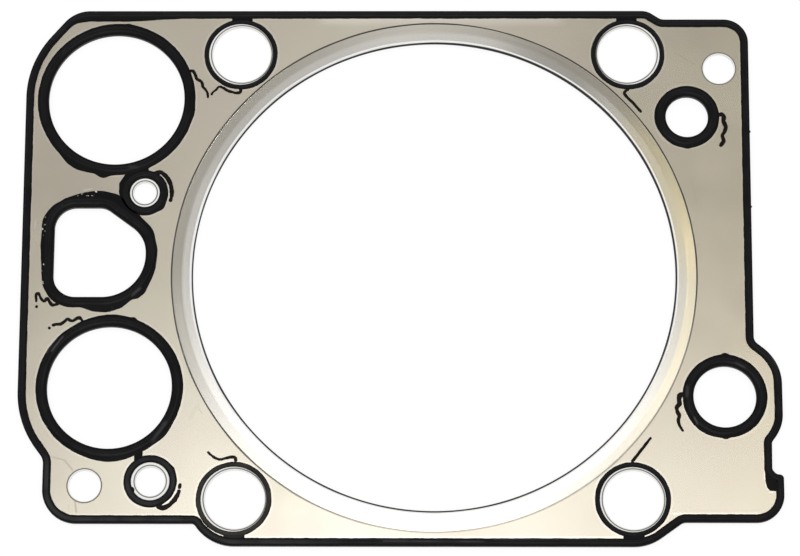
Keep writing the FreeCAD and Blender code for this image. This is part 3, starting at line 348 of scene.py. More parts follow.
class Nodes:
    """Builds one node tree."""

    def __init__(self, tree):
        self.tree = tree
        tree.nodes.clear()

    def add(self, kind, settings=None, sockets=None):
        """One node: its settings first, then the values or links of its sockets."""
        node = self.tree.nodes.new(kind)
        for name, setting in (settings or {}).items():
            setattr(node, name, setting)
        for name, given in (sockets or {}).items():
            if isinstance(given, Value):
                given = given.socket
            if isinstance(given, bpy.types.NodeSocket):
                self.tree.links.new(given, node.inputs[name])
            else:
                node.inputs[name].default_value = given
        return node

    def out(self, node, output=0):
        return Value(self, node.outputs[output])

    def parts(self, vector):
        """The three numbers of a vector."""
        split = self.add("ShaderNodeSeparateXYZ", None, {0: vector})
        return [self.out(split, axis) for axis in range(3)]

    def math(self, operation, *values):
        return self.out(self.add("ShaderNodeMath", {"operation": operation},
                                 dict(enumerate(values))))

    def most(self, first, *others):
        """The greatest of some masks."""
        for other in others:
            first = self.math("MAXIMUM", first, other)
        return first

    def vector(self, operation, *values):
        return self.out(self.add("ShaderNodeVectorMath", {"operation": operation},
                                 dict(enumerate(values))))

    def combine(self, x, y, z):
        return self.out(self.add("ShaderNodeCombineXYZ", None, {0: x, 1: y, 2: z}))

    def step(self, value, start, end, low=0.0, high=1.0):
        """A smooth step from low at start to high at end."""
        return self.out(self.add(
            "ShaderNodeMapRange", {"interpolation_type": "SMOOTHSTEP"},
            {"Value": value, "From Min": start, "From Max": end, "To Min": low, "To Max": high}))

    def noise(self, vector, scale, detail=2.0, roughness=0.5):
        return self.out(self.add(
            "ShaderNodeTexNoise", None,
            {"Vector": vector, "Scale": scale, "Detail": detail, "Roughness": roughness}), "Fac")

    def mix(self, factor, first, second):
        """A blend of two colours."""
        return self.out(self.add("ShaderNodeMix", {"data_type": "RGBA"},
                                 {0: factor, 6: rgba(first), 7: rgba(second)}), 2)

    def rays(self, *kinds):
        """1 for the named kinds of rays."""
        path = self.add("ShaderNodeLightPath")
        return self.most(*(self.out(path, f"Is {kind} Ray") for kind in kinds))

    def named(self, name, kind="FLOAT"):
        return self.out(self.add("GeometryNodeInputNamedAttribute", {"data_type": kind},
                                 {"Name": name}))

    def store(self, geometry, name, value, kind="FLOAT"):
        return self.out(self.add(
            "GeometryNodeStoreNamedAttribute", {"data_type": kind, "domain": "POINT"},
            {"Geometry": geometry, "Name": name, "Value": value}))


def rgba(colour):
    return (*colour, 1.0) if not isinstance(colour, Value) and len(colour) == 3 else colour


def placed(name, data):
    """A new object in the scene."""
    item = bpy.data.objects.new(name, data)
    bpy.context.scene.collection.objects.link(item)
    return item


def node_material(name):
    material = bpy.data.materials.new(name)
    material.use_nodes = True
    return material, Nodes(material.node_tree)


def new_surface(name):
    """A material, its nodes, the place on the piece, and that in millimetres."""
    material, nodes = node_material(name)
    place = nodes.out(nodes.add("ShaderNodeTexCoord"), "Object")
    return material, nodes, place, *(part * (1 / MM) for part in nodes.parts(place))


def finish_surface(nodes, sockets, bump, strength, depth):
    """The surface shader with its bump, and the output."""
    sockets["Normal"] = nodes.out(nodes.add(
        "ShaderNodeBump", None, {"Height": bump, "Strength": strength, "Distance": depth}))
    shader = nodes.add("ShaderNodeBsdfPrincipled", None, sockets)
    nodes.add("ShaderNodeOutputMaterial", None, {"Surface": shader.outputs[0]})


def finish_steel(nodes, base, matt, grain, roughest, strength):
    """Satin steel, matt where the mask is 1, with its grain in the gloss and the bump."""
    finish_surface(nodes, {
        "Base Color": base,
        "Metallic": nodes.step(matt, 0.0, 1.0, 0.97, 0.0),
        "Roughness": nodes.step(grain, 0.3, 0.7, 0.20, roughest) + matt * 0.3,
        "Specular IOR Level": 0.3,
    }, grain, strength, 0.005 * MM)


def from_point(nodes, x, y, place):
    """Distance from a place, in the unit of x and y."""
    east, north = x - place[0], y - place[1]
    return nodes.math("SQRT", east * east + north * north)


def spot(nodes, x, y, place, reach, core):
    """1 in the core round a place, fading to 0 at its reach."""
    return nodes.step(from_point(nodes, x, y, place), reach, core)


def strokes(nodes, x, y, marks):
    """Straight marks together, each by its strength, fading beside it and at its ends."""
    total = 0.0
    for start, end, width, strength in marks:
        run = math.dist(start, end)
        along = ((end[0] - start[0]) / run, (end[1] - start[1]) / run)
        east, north = x - start[0], y - start[1]
        beside = abs(north * along[0] - east * along[1])
        ahead = abs(east * along[0] + north * along[1] - run / 2)
        total = total + nodes.step(beside, width, 0.0) * nodes.step(
            ahead, run / 2, run / 2 - max(1.0, 2 * width)) * strength
    return total


def ring_halos(nodes, x, y):
    """1 on the painted bright halos outside the rings of the seals."""
    rings = list(ROUND_PORTS.values()) + list(SMALL_RINGS.values())
    rings += [(across + shift, along, *BOLT_RING)
              for (across, along), shift in zip(BOLT_HOLES, BOLT_SHIFTS)]
    total = 0.0
    for across, along, inner, wide in rings:
        beyond = from_point(nodes, x, y, (across, along)) - (inner + wide + 0.3)
        total = nodes.most(total, nodes.step(abs(beyond), 0.42, 0.12))
    return total


def hole_finish(nodes, x, y, wander):
    """Masks for the bright land inside the small rings and for the line round each hole."""
    bright, line = 0.0, 0.0
    for across, along, radius, land in HOLE_LANDS:
        beyond = from_point(nodes, x, y, (across, along)) - radius + wander
        bright = nodes.most(bright, nodes.step(beyond, land + 0.12, land))
        line = nodes.most(line, nodes.step(abs(beyond - 0.38), 0.24, 0.08))
    return bright, line


def grime_left(nodes, x, y):
    """How much grime the joint holds. It thins out towards the lower right."""
    return nodes.step(y - x * 0.3, -80.0, -18.0, 0.15, 1.0)


def coated_steel():
    """Satin coated sheet: soft mottling, fine grain, faint drag marks, a broad painted shade at
    the lower left, painted bright halos and a painted highlight along the mouldings, and grime at
    the ring.
    """
    colours = bpy.context.scene.gasket_colours
    material, nodes, place, x, y, _ = new_surface("sheet_coating")
    wander = nodes.noise(place, 60.0) - 0.5
    mottle = nodes.noise(place, 28.0, 3.0, 0.55)
    cloud = nodes.noise(place, 9.0)
    patch = nodes.noise(place, 75.0)
    drag = nodes.noise(nodes.out(nodes.add("ShaderNodeMapping", None, {
        "Vector": place, "Rotation": (0.0, 0.0, math.radians(38)),
        "Scale": (9.0, 420.0, 1.0)})), 1.0)
    base = nodes.mix(nodes.step(patch * 0.6 + cloud * 0.4, 0.40, 0.60), colours.sheet,
                     colours.sheet_warm)
    streaks = nodes.step(drag, 0.62, 0.78) * nodes.step(cloud, 0.45, 0.6)
    base = nodes.mix(streaks * 0.07, base, DRAG_TINT)
    # Drag marks, and one broad painted shade.
    base = nodes.mix(strokes(nodes, x, y, SCRATCHES_AND_SHADE), base, SCRATCH_AND_SHADE_TINT)
    # Painted highlights: bright halos along the mouldings and a bright strip along the top.
    edges = nodes.most(strokes(nodes, x, y, HALOS), ring_halos(nodes, x, y) * RING_HALO)
    base = nodes.mix(edges, base, HALO_TINT)
    base = nodes.mix(strokes(nodes, x, y, SPECKS), base, SPECK_TINT)
    bright, line = hole_finish(nodes, x, y, wander * 0.3)
    base = nodes.mix(line, nodes.mix(bright, base, LAND_TINT), LINE_TINT)
    radius = from_point(nodes, x, y, (0.0, 0.0)) + wander * 0.35
    joint = nodes.step(radius, 71.66, 71.42) * grime_left(nodes, x, y)
    base = nodes.mix(joint, base, colours.joint)
    finish_steel(nodes, base, nodes.most(bright, line, joint), mottle, 0.25, 0.05)
    return material


def ring_steel():
    """Formed steel: lap lines round the bore, a painted highlight on the rim, painted shade on the
    wall, lit and shaded tones on the two slopes, and painted shade, painted highlights and a straw
    painted reflection in patches.
    """
    colours = bpy.context.scene.gasket_colours
    material, nodes, place, x, y, _ = new_surface("formed_steel")
    wander = nodes.noise(place, 55.0) - 0.5
    radius = from_point(nodes, x, y, (0.0, 0.0))
    lap = nodes.noise(nodes.combine(radius * 9.0, x * 0.02, y * 0.02), 1.0, 4.0, 0.65)
    cloud = nodes.noise(place, 35.0, 3.0)
    zone = nodes.step(radius + (cloud - 0.5) * 1.2, 67.9, 69.3)
    # Painted light: a lit tone on the inner slope and a shaded tone on the outer slope.
    base = nodes.mix(zone, colours.ring_inner_lit, colours.ring_outer_shaded)
    base = nodes.mix(nodes.step(cloud, 0.40, 0.72) * 0.12, base, HAZE_TINT)
    base = nodes.mix(nodes.step(lap, 0.55, 0.75) * 0.08, base, LAP_TINT)
    # Painted highlight: the lower part of the ring is lighter, most of all on the inner slope.
    base = nodes.mix(nodes.step(y, -10.0, -38.0), base, nodes.mix(zone, LOW_INNER_HIGHLIGHT, LOW_OUTER_HIGHLIGHT))
    # Painted shade and painted highlights in patches round the ring, with a straw painted
    # reflection.
    for centre, reach, core, inner, outer, colour in RING_PAINTED_LIGHT:
        strength = inner + zone * (outer - inner)
        base = nodes.mix(spot(nodes, x, y, centre, reach, core) * strength, base, colour)
    # Painted highlight along the rounded rim at the bore.
    rim = nodes.step(abs(radius + wander * 0.5 - 66.26), 0.24, 0.10)
    # Painted shade on the wall of the bore, narrower at the upper left and a little wider at the
    # bottom.
    upper_left = nodes.step(y - x, 30.0, 85.0, 0.0, 0.16)
    lower = nodes.step(y, -15.0, -50.0, 0.0, 0.03)
    wall = nodes.step(radius + wander * 0.25 + upper_left - lower, 66.06, 65.94)
    base = nodes.mix(wall, nodes.mix(rim, base, RIM_HIGHLIGHT_TINT), WALL_SHADE_TINT)
    joint = nodes.step(radius + wander * 0.35, 71.05, 71.2) * grime_left(nodes, x, y)
    base = nodes.mix(joint, base, colours.joint)
    finish_steel(nodes, base, nodes.most(rim, wall, joint), lap, 0.26, 0.2)
    return material


def fleck_zone(nodes, x, y, height):
    """1 on the skirt of the flat sided port's seal where the coating shows in flecks."""
    skirt = nodes.step(height, 0.70, 0.68) * nodes.step(x, -90.5, -92.5) * nodes.step(
        x, -108.6, -108.0)
    stretches = nodes.most(nodes.step(abs(y - 17.0), 7.4, 6.6),
                           nodes.step(abs(y + 0.8), 3.6, 3.0))
    outer_edge = nodes.step(nodes.most(-105.9 - x, y - 21.5), 0.0, 0.3)
    return skirt * stretches * outer_edge


def rubber(name, colour, crest):
    """Moulded rubber: near black, with painted sheen on the lip crests, painted glint streaks and
    painted sheen at the lower left, and a fine pebbled face.
    """
    material, nodes, place, x, y, z = new_surface(name)
    height = abs(z)
    pebble = nodes.noise(place, 5200.0, 2.0, 0.6)
    cloud = nodes.noise(place, 160.0, 3.0, 0.55)
    crown = nodes.step(height, 0.70, 0.88)
    # Painted sheen: the lip crests are lighter in patches.
    crest_sheen = crown * nodes.step(cloud, 0.30, 0.62, 0.4, 1.0)
    base = nodes.mix(crest_sheen, colour, crest)
    # Painted glint streaks along the lips.
    glints = strokes(nodes, x, y, PAINTED_GLINTS) * nodes.step(cloud, 0.30, 0.60, 0.5, 1.0)
    base = nodes.mix(glints, base, GLINT_TINT)
    # Painted sheen on the lip crests towards the lower left.
    lower_left_sheen = nodes.step(x, -20.0, -45.0) * nodes.step(y, -48.0, -56.0) * crest_sheen
    base = nodes.mix(lower_left_sheen * 0.5, base, LOWER_LEFT_SHEEN_TINT)
    # Painted sheen on the ring round the lower left bolt hole.
    bolt_ring_sheen = spot(nodes, x, y, BOLT_HOLES[2], 10.9, 10.2) * nodes.step(
        cloud, 0.30, 0.62, 0.2, 1.0)
    base = nodes.mix(bolt_ring_sheen * 0.6, base, BOLT_SHEEN_TINT)
    flecks = nodes.step(nodes.noise(place, 1500.0), 0.60, 0.64)
    base = nodes.mix(flecks * fleck_zone(nodes, x, y, height), base, FLECK_TINT)
    dust = nodes.step(nodes.noise(place, 900.0), 0.70, 0.80)
    base = nodes.mix(dust * 0.25, base, DUST_TINT)
    finish_surface(nodes, {
        "Base Color": base,
        "Roughness": nodes.step(cloud, 0.3, 0.7, 0.36, 0.46) - crown * 0.06,
        "Specular IOR Level": 0.13,
        "Coat Weight": crest_sheen * 0.12,
        "Coat Roughness": 0.17,
    }, pebble * 0.5 + cloud * 0.5, 0.25, 0.02 * MM)
    return material


def rubbers():
    """The two rubbers, of the seals and of their runners, made once."""
    colours = bpy.context.scene.gasket_colours
    found = [bpy.data.materials.get(name) for name in ("moulded_rubber", "flash_rubber")]
    if not found[0]:
        found = [rubber("moulded_rubber", tuple(colours.rubber), tuple(colours.rubber_crest_sheen)),
                 rubber("flash_rubber", tuple(colours.runner), tuple(colours.runner))]
    return found


def rounded_path(corners, step):
    """Points along a closed path of straight runs whose corners (x, y, radius) are rounded."""
    points = []
    sharp = [Vector((x, y)) for x, y, _ in corners]
    ways, cuts = [], []
    for index, (_, _, radius) in enumerate(corners):
        back = sharp[index - 1] - sharp[index]
        ahead = sharp[(index + 1) % len(sharp)] - sharp[index]
        half = back.normalized().angle(ahead.normalized()) / 2
        ways.append((back, ahead))
        cuts.append(radius / math.tan(half))
    for index, (corner, (back, ahead)) in enumerate(zip(sharp, ways)):
        room = min(back.length * cuts[index] / (cuts[index - 1] + cuts[index]),
                   ahead.length * cuts[index] / (cuts[index] + cuts[(index + 1) % len(cuts)]))
        cut = min(cuts[index], room * 0.999)
        half = back.angle(ahead) / 2
        radius = cut * math.tan(half)
        back.normalize()
        ahead.normalize()
        middle = corner + (back + ahead).normalized() * (radius / math.sin(half))
        enter, leave = corner + back * cut, corner + ahead * cut
        arm = enter - middle
        sweep = (leave - middle).angle_signed(arm)
        pieces = max(4, math.ceil(abs(sweep) * radius / step))
        for number in range(pieces + 1):
            turn = sweep * number / pieces
            points.append(middle + Vector((
                arm.x * math.cos(turn) - arm.y * math.sin(turn),
                arm.x * math.sin(turn) + arm.y * math.cos(turn))))
    dense = []
    for start, end in zip(points, points[1:] + points[:1]):
        run = (end - start).length
        if run > 1e-6:
            count = max(1, round(run / step))
            dense += [start.lerp(end, part / count) for part in range(count)]
    return dense


def circle_path(x, y, radius, step):
    """Points round a circle, counterclockwise."""
    count = max(48, round(2 * math.pi * radius / step))
    return [Vector((x + radius * math.cos(2 * math.pi * turn / count),
                    y + radius * math.sin(2 * math.pi * turn / count))) for turn in range(count)]


def outward(points, index):
    """Unit vector to the right of a closed path's direction."""
    along = points[(index + 1) % len(points)] - points[index - 1]
    return Vector((along.y, -along.x)).normalized()


def reach_to(start, way, edge):
    """Distance from a point along a unit vector to a closed outline."""
    hits = []
    for first, second in zip(edge, edge[1:] + edge[:1]):
        run, gap = second - first, first - start
        cross = way.x * run.y - way.y * run.x
        if abs(cross) < 1e-9:
            continue
        distance = (gap.x * run.y - gap.y * run.x) / cross
        share = (gap.x * way.y - gap.y * way.x) / cross
        if distance > 0 and -1e-6 <= share <= 1 + 1e-6:
            hits.append(distance)
    return min(hits)


def swellings(points, key, width):
    """Widths along a path, with more near each swelling of the outer edge."""
    widths = []
    for index, point in enumerate(points):
        here = width
        edge = point + outward(points, index) * width
        for x, y, more, spread in SWELLINGS[key]:
            here += more * math.exp(-((edge.x - x) ** 2 + (edge.y - y) ** 2) / spread ** 2)
        widths.append(here)
    return widths


def wire_object(name, loops, values):
    """Wires through loops of (points, closed), with values or vectors stored on the points."""
    places, edges = [], []
    for points, closed in loops:
        first, count = len(places), len(points)
        places += [(across, along, 0.0) for across, along in points]
        edges += [(first + index, first + (index + 1) % count)
                  for index in range(count if closed else count - 1)]
    mesh = bpy.data.meshes.new(name)
    mesh.from_pydata(places, edges, [])
    for label, given in values.items():
        kind, field = (("FLOAT", "value") if len(given) == len(places)
                       else ("FLOAT_VECTOR", "vector"))
        mesh.attributes.new(label, kind, "POINT").data.foreach_set(field, given)
    return placed(name, mesh)


def path_object(loops):
    """Wires for mouldings: (points, widths, lip half width, lip place, closed) each."""
    return wire_object("wire", [([(x * MM, y * MM) for x, y in loop[0]], loop[4])
                                for loop in loops], {
        "width": [value * MM for loop in loops for value in loop[1]],
        "half": [loop[2] * MM for loop in loops for _ in loop[0]],
        "middle": [loop[3] * MM for loop in loops for _ in loop[0]]})


def section_object(name, loops):
    """A moulding's section: closed loops of (cover, share, lip, middle, sheet, skirt, crown)."""
    rows = [row for loop in loops for row in loop]
    return wire_object(name, [([(row[1], sum(row[4:])) for row in loop], True)
                              for loop in loops], {
        "across": [value for row in rows for value in row[:3]],
        "above": [value for row in rows for value in row[4:]],
        "centred": [row[3] for row in rows]})


def upper_half(cover):
    """Upper half of a seal's section, from its inner edge over the lip to its foot."""
    lip = [(0, 0, 2 * step / LIP_STEPS - 1, 1, 1, 1, 1 - (2 * step / LIP_STEPS - 1) ** 2)
           for step in range(LIP_STEPS + 1)]
    return ([(0, 0, 0, 0, 1, SHOULDER, 0), (EDGE_ROUND, 0, 0, 0, 1, 1, 0)] + lip
            + [(-EDGE_ROUND, 1, 0, 0, 1, 1, 0), (0, 1, 0, 0, 1, SHOULDER, 0),
               (FOOT_SPREAD, 1, 0, 0, 1, 0, 0), (cover, 0, 0, 0, 1, 0, 0)])


def mirrored(rows):
    return [(*row[:4], -row[4], -row[5], -row[6]) for row in reversed(rows)]


def lined_section():
    """For a seal that wraps an edge of the sheet."""
    upper = upper_half(1.0)
    return section_object("lined_section", [upper + mirrored(upper)])


def seated_section():
    """For a ring that stands on both faces of the sheet, away from any edge."""
    upper = upper_half(0.0)
    return section_object("seated_section", [upper, mirrored(upper)])


def runner_section():
    """A low dome that stands on the upper face."""
    dome = [(0, step / STRIP_STEPS - 0.5, 0, 0, 1, 0,
             (1 - abs(2 * step / STRIP_STEPS - 1) ** 3) ** 0.6)
            for step in range(STRIP_STEPS + 1)]
    return section_object("runner_section", [dome])


def moulding_tree(name, trails):
    """Sweeps a section along a wire. A trailing strip also wanders, and its ends are rounded."""
    tree = bpy.data.node_groups.new(name, "GeometryNodeTree")
    face = tree.interface
    face.new_socket("Geometry", in_out="INPUT", socket_type="NodeSocketGeometry")
    lengths = ["Edge cover", "Sheet face", "Skirt height", "Crown height", "Seed"]
    lengths += ["Wander", "Step"] if trails else ["Ragged", "Ragged scale"]
    for label, kind in [("Section", "Object"), ("Finish", "Material")] + [
            (label, "Float") for label in lengths]:
        face.new_socket(label, in_out="INPUT", socket_type=f"NodeSocket{kind}")
    face.new_socket("Geometry", in_out="OUTPUT", socket_type="NodeSocketGeometry")
    nodes = Nodes(tree)
    given = nodes.add("NodeGroupInput")

    def take(label):
        return nodes.out(given, label)

    def wander(scale, shift):
        place = nodes.vector("ADD", nodes.named("path", "FLOAT_VECTOR"),
                             nodes.combine(0.0, 0.0, take("Seed") * 0.01 + shift))
        return nodes.noise(place, scale, 2.0, 0.6) - 0.5

    curve = nodes.out(nodes.add("GeometryNodeMeshToCurve", None, {"Mesh": take("Geometry")}))
    if trails:
        curve = nodes.out(nodes.add("GeometryNodeCurveSplineType",
                                    {"spline_type": "CATMULL_ROM"}, {"Curve": curve}))
        curve = nodes.out(nodes.add("GeometryNodeResampleCurve", {"mode": "LENGTH"},
                                    {"Curve": curve, "Length": take("Step")}))
    tangent = nodes.out(nodes.add("GeometryNodeInputTangent"))
    side = nodes.vector("NORMALIZE", nodes.vector("CROSS_PRODUCT", tangent, (0.0, 0.0, 1.0)))
    position = nodes.out(nodes.add("GeometryNodeInputPosition"))
    curve = nodes.store(curve, "path", position, "FLOAT_VECTOR")
    curve = nodes.store(curve, "side", side, "FLOAT_VECTOR")
    if trails:
        gone = nodes.out(nodes.add("GeometryNodeSplineParameter"), "Length")
        whole = nodes.out(nodes.add("GeometryNodeSplineLength"), "Length")
        end = nodes.math("MINIMUM", gone, whole - gone)
        share = nodes.math("MINIMUM", end / (nodes.named("width") * 0.5), 1.0)
        taper = nodes.math("SQRT", nodes.most(1.0 - (1.0 - share) ** 2.0, 0.02))
        curve = nodes.store(curve, "taper", taper)
    section = nodes.out(nodes.add("GeometryNodeObjectInfo", None,
                                  {"Object": take("Section")}), "Geometry")
    profile = nodes.out(nodes.add("GeometryNodeMeshToCurve", None, {"Mesh": section}))
    swept = nodes.out(nodes.add("GeometryNodeCurveToMesh", None, {
        "Curve": curve, "Profile Curve": profile, "Fill Caps": True}))
    cover, fraction, lip = nodes.parts(nodes.named("across", "FLOAT_VECTOR"))
    sheet, skirt, crown = nodes.parts(nodes.named("above", "FLOAT_VECTOR"))
    width = nodes.named("width")
    rise = crown * take("Crown height")
    if trails:
        taper = nodes.named("taper")
        width = width * taper * (1.0 + wander(WIDTH_NOISE, 0.7) * 0.9)
        shift = wander(PATH_NOISE, 0.5) * 2.0 * take("Wander")
        rise = rise * taper * (1.0 + wander(CROWN_NOISE, 0.9) * 0.5)
    else:
        drift = wander(take("Ragged scale"), 0.0) * 2.0 * take("Ragged")
        width = width + (drift + wander(take("Ragged scale") * 4.0, 0.3) * take("Ragged"))
        shift = 0.0
    off = (cover * take("Edge cover") + fraction * width + lip * nodes.named("half")
           + nodes.named("centred") * nodes.named("middle") + shift)
    height = sheet * take("Sheet face") + skirt * take("Skirt height") + rise
    aside = nodes.out(nodes.add("ShaderNodeVectorMath", {"operation": "SCALE"}, {
        0: nodes.named("side", "FLOAT_VECTOR"), "Scale": off}))
    moved = nodes.vector("ADD", nodes.named("path", "FLOAT_VECTOR"), aside)
    moved = nodes.vector("ADD", moved, nodes.combine(0.0, 0.0, height))
    swept = nodes.out(nodes.add("GeometryNodeSetPosition", None,
                                {"Geometry": swept, "Position": moved}))
    swept = nodes.out(nodes.add("GeometryNodeRealizeInstances", None, {"Geometry": swept}))
    swept = nodes.out(nodes.add("GeometryNodeSetMaterial", None,
                                {"Geometry": swept, "Material": take("Finish")}))
    nodes.add("NodeGroupOutput", None, {0: swept})
    return tree


def shared(name, make, *given):
    """The named section or tree, made once."""
    return bpy.data.objects.get(name) or bpy.data.node_groups.get(name) or make(*given)


def sweep(wire, tree, inputs):
    """The plain mesh of a wire's moulding. The wire goes."""
    modifier = wire.modifiers.new("Moulding", "NODES")
    modifier.node_group = tree
    for item in tree.interface.items_tree:
        if item.in_out == "INPUT" and item.name in inputs:
            modifier[item.identifier] = inputs[item.name]
    bpy.context.view_layer.update()
    shown = wire.evaluated_get(bpy.context.evaluated_depsgraph_get())
    mesh = bpy.data.meshes.new_from_object(shown)
    wire.modifiers.clear()
    bpy.data.objects.remove(wire)
    if not mesh.polygons:
        raise RuntimeError("a moulding came out empty")
    return mesh


def add_slab(bm, points, low, high):
    """A flat block over a counterclockwise outline."""
    bottom = [bm.verts.new((x * MM, y * MM, low)) for x, y in points]
    top = [bm.verts.new((x * MM, y * MM, high)) for x, y in points]
    bm.faces.new(top)
    bm.faces.new(reversed(bottom))
    add_wall(bm, bottom, top)


def add_wall(bm, lower, upper):
    """Faces between two closed loops of as many vertices."""
    for index in range(len(lower)):
        after = (index + 1) % len(lower)
        bm.faces.new((lower[index], lower[after], upper[after], upper[index]))


def add_bead(bm, x, y, radius, low, height):
    """A low dome, closed below."""
    rings = []
    for level in range(BEAD_LEVELS):
        rise = math.pi / 2 * level / BEAD_LEVELS
        turns = [2 * math.pi * step / BEAD_STEPS for step in range(BEAD_STEPS)]
        rings.append([bm.verts.new(((x + radius * math.cos(rise) * math.cos(turn)) * MM,
                                    (y + radius * math.cos(rise) * math.sin(turn)) * MM,
                                    low + height * math.sin(rise))) for turn in turns])
    peak = bm.verts.new((x * MM, y * MM, low + height))
    bm.faces.new(reversed(rings[0]))
    for lower, upper in zip(rings, rings[1:]):
        add_wall(bm, lower, upper)
    for step in range(BEAD_STEPS):
        bm.faces.new((rings[-1][step], rings[-1][(step + 1) % BEAD_STEPS], peak))


class Moulding:
    """Gathers the parts of one seal into one mesh."""

    def __init__(self):
        self.bm = bmesh.new()

    def take(self, mesh, slot):
        """Add a swept mesh with its faces outwards."""
        first = len(self.bm.faces)
        self.bm.from_mesh(mesh)
        self.bm.faces.ensure_lookup_table()
        added = self.bm.faces[first:]
        volume = sum(face.calc_center_median().dot(face.normal) * face.calc_area()
                     for face in added)
        if volume < 0:
            bmesh.ops.reverse_faces(self.bm, faces=added)
        for face in added:
            face.material_index = slot
        bpy.data.meshes.remove(mesh)

    def pad(self, points):
        """A flat pad on both faces of the sheet."""
        sizes = bpy.context.scene.gasket_sizes
        low, high = sizes.plate_top, sizes.plate_top + sizes.skirt_height * PAD_SHARE
        add_slab(self.bm, points, low, high)
        add_slab(self.bm, points, -high, -low)

    def sweeps(self, lined, seated, seal, seed):
        """Sweep the wires of the seal and add its runners and beads."""
        sizes = bpy.context.scene.gasket_sizes
        plain, flash = rubbers()
        inputs = {
            "Finish": plain, "Edge cover": sizes.edge_cover, "Sheet face": sizes.plate_top,
            "Skirt height": sizes.skirt_height, "Seed": float(sizes.seed + seed),
            "Crown height": sizes.lip_top - sizes.plate_top - sizes.skirt_height,
            "Ragged": sizes.ragged, "Ragged scale": RAGGED_NOISE}
        tree = shared("moulding", moulding_tree, "moulding", False)
        for loops, name, make in ((lined, "lined_section", lined_section),
                                  (seated, "seated_section", seated_section)):
            section = shared(name, make)
            if loops:
                self.take(sweep(path_object(loops), tree, {**inputs, "Section": section}), 0)
        loops = [([Vector(point) for point in run],
                  [sizes.runner_scale * (first + (last - first) * index / (len(run) - 1))
                   for index in range(len(run))], 0.0, 0.0, False)
                 for first, last, run in RUNNERS[seal]]
        strips = {**inputs, "Section": shared("runner_section", runner_section),
                  "Finish": flash, "Skirt height": 0.0, "Crown height": sizes.runner_height,
                  "Wander": STRIP_WANDER, "Step": STRIP_STEP}
        tree = shared("trailing_strip", moulding_tree, "trailing_strip", True)
        self.take(sweep(path_object(loops), tree, strips), 1)
        for x, y, radius in BEADS.get(seal, []):
            add_bead(self.bm, x, y, radius, sizes.plate_top, sizes.runner_height)

    def make(self, name, node):
        """The finished piece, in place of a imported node."""
        mesh = bpy.data.meshes.new(name)
        for face in self.bm.faces:
            face.smooth = True
        self.bm.to_mesh(mesh)
        self.bm.free()
        for label in ("path", "side", "across", "above", "centred", "half", "middle", "width",
                      "taper"):
            if label in mesh.attributes:
                mesh.attributes.remove(mesh.attributes[label])
        mesh.set_sharp_from_angle(angle=SEAL_SHARP)
        for material in rubbers():
            mesh.materials.append(material)
        piece = placed(name, mesh)
        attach(piece, BODY)
        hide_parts(node)


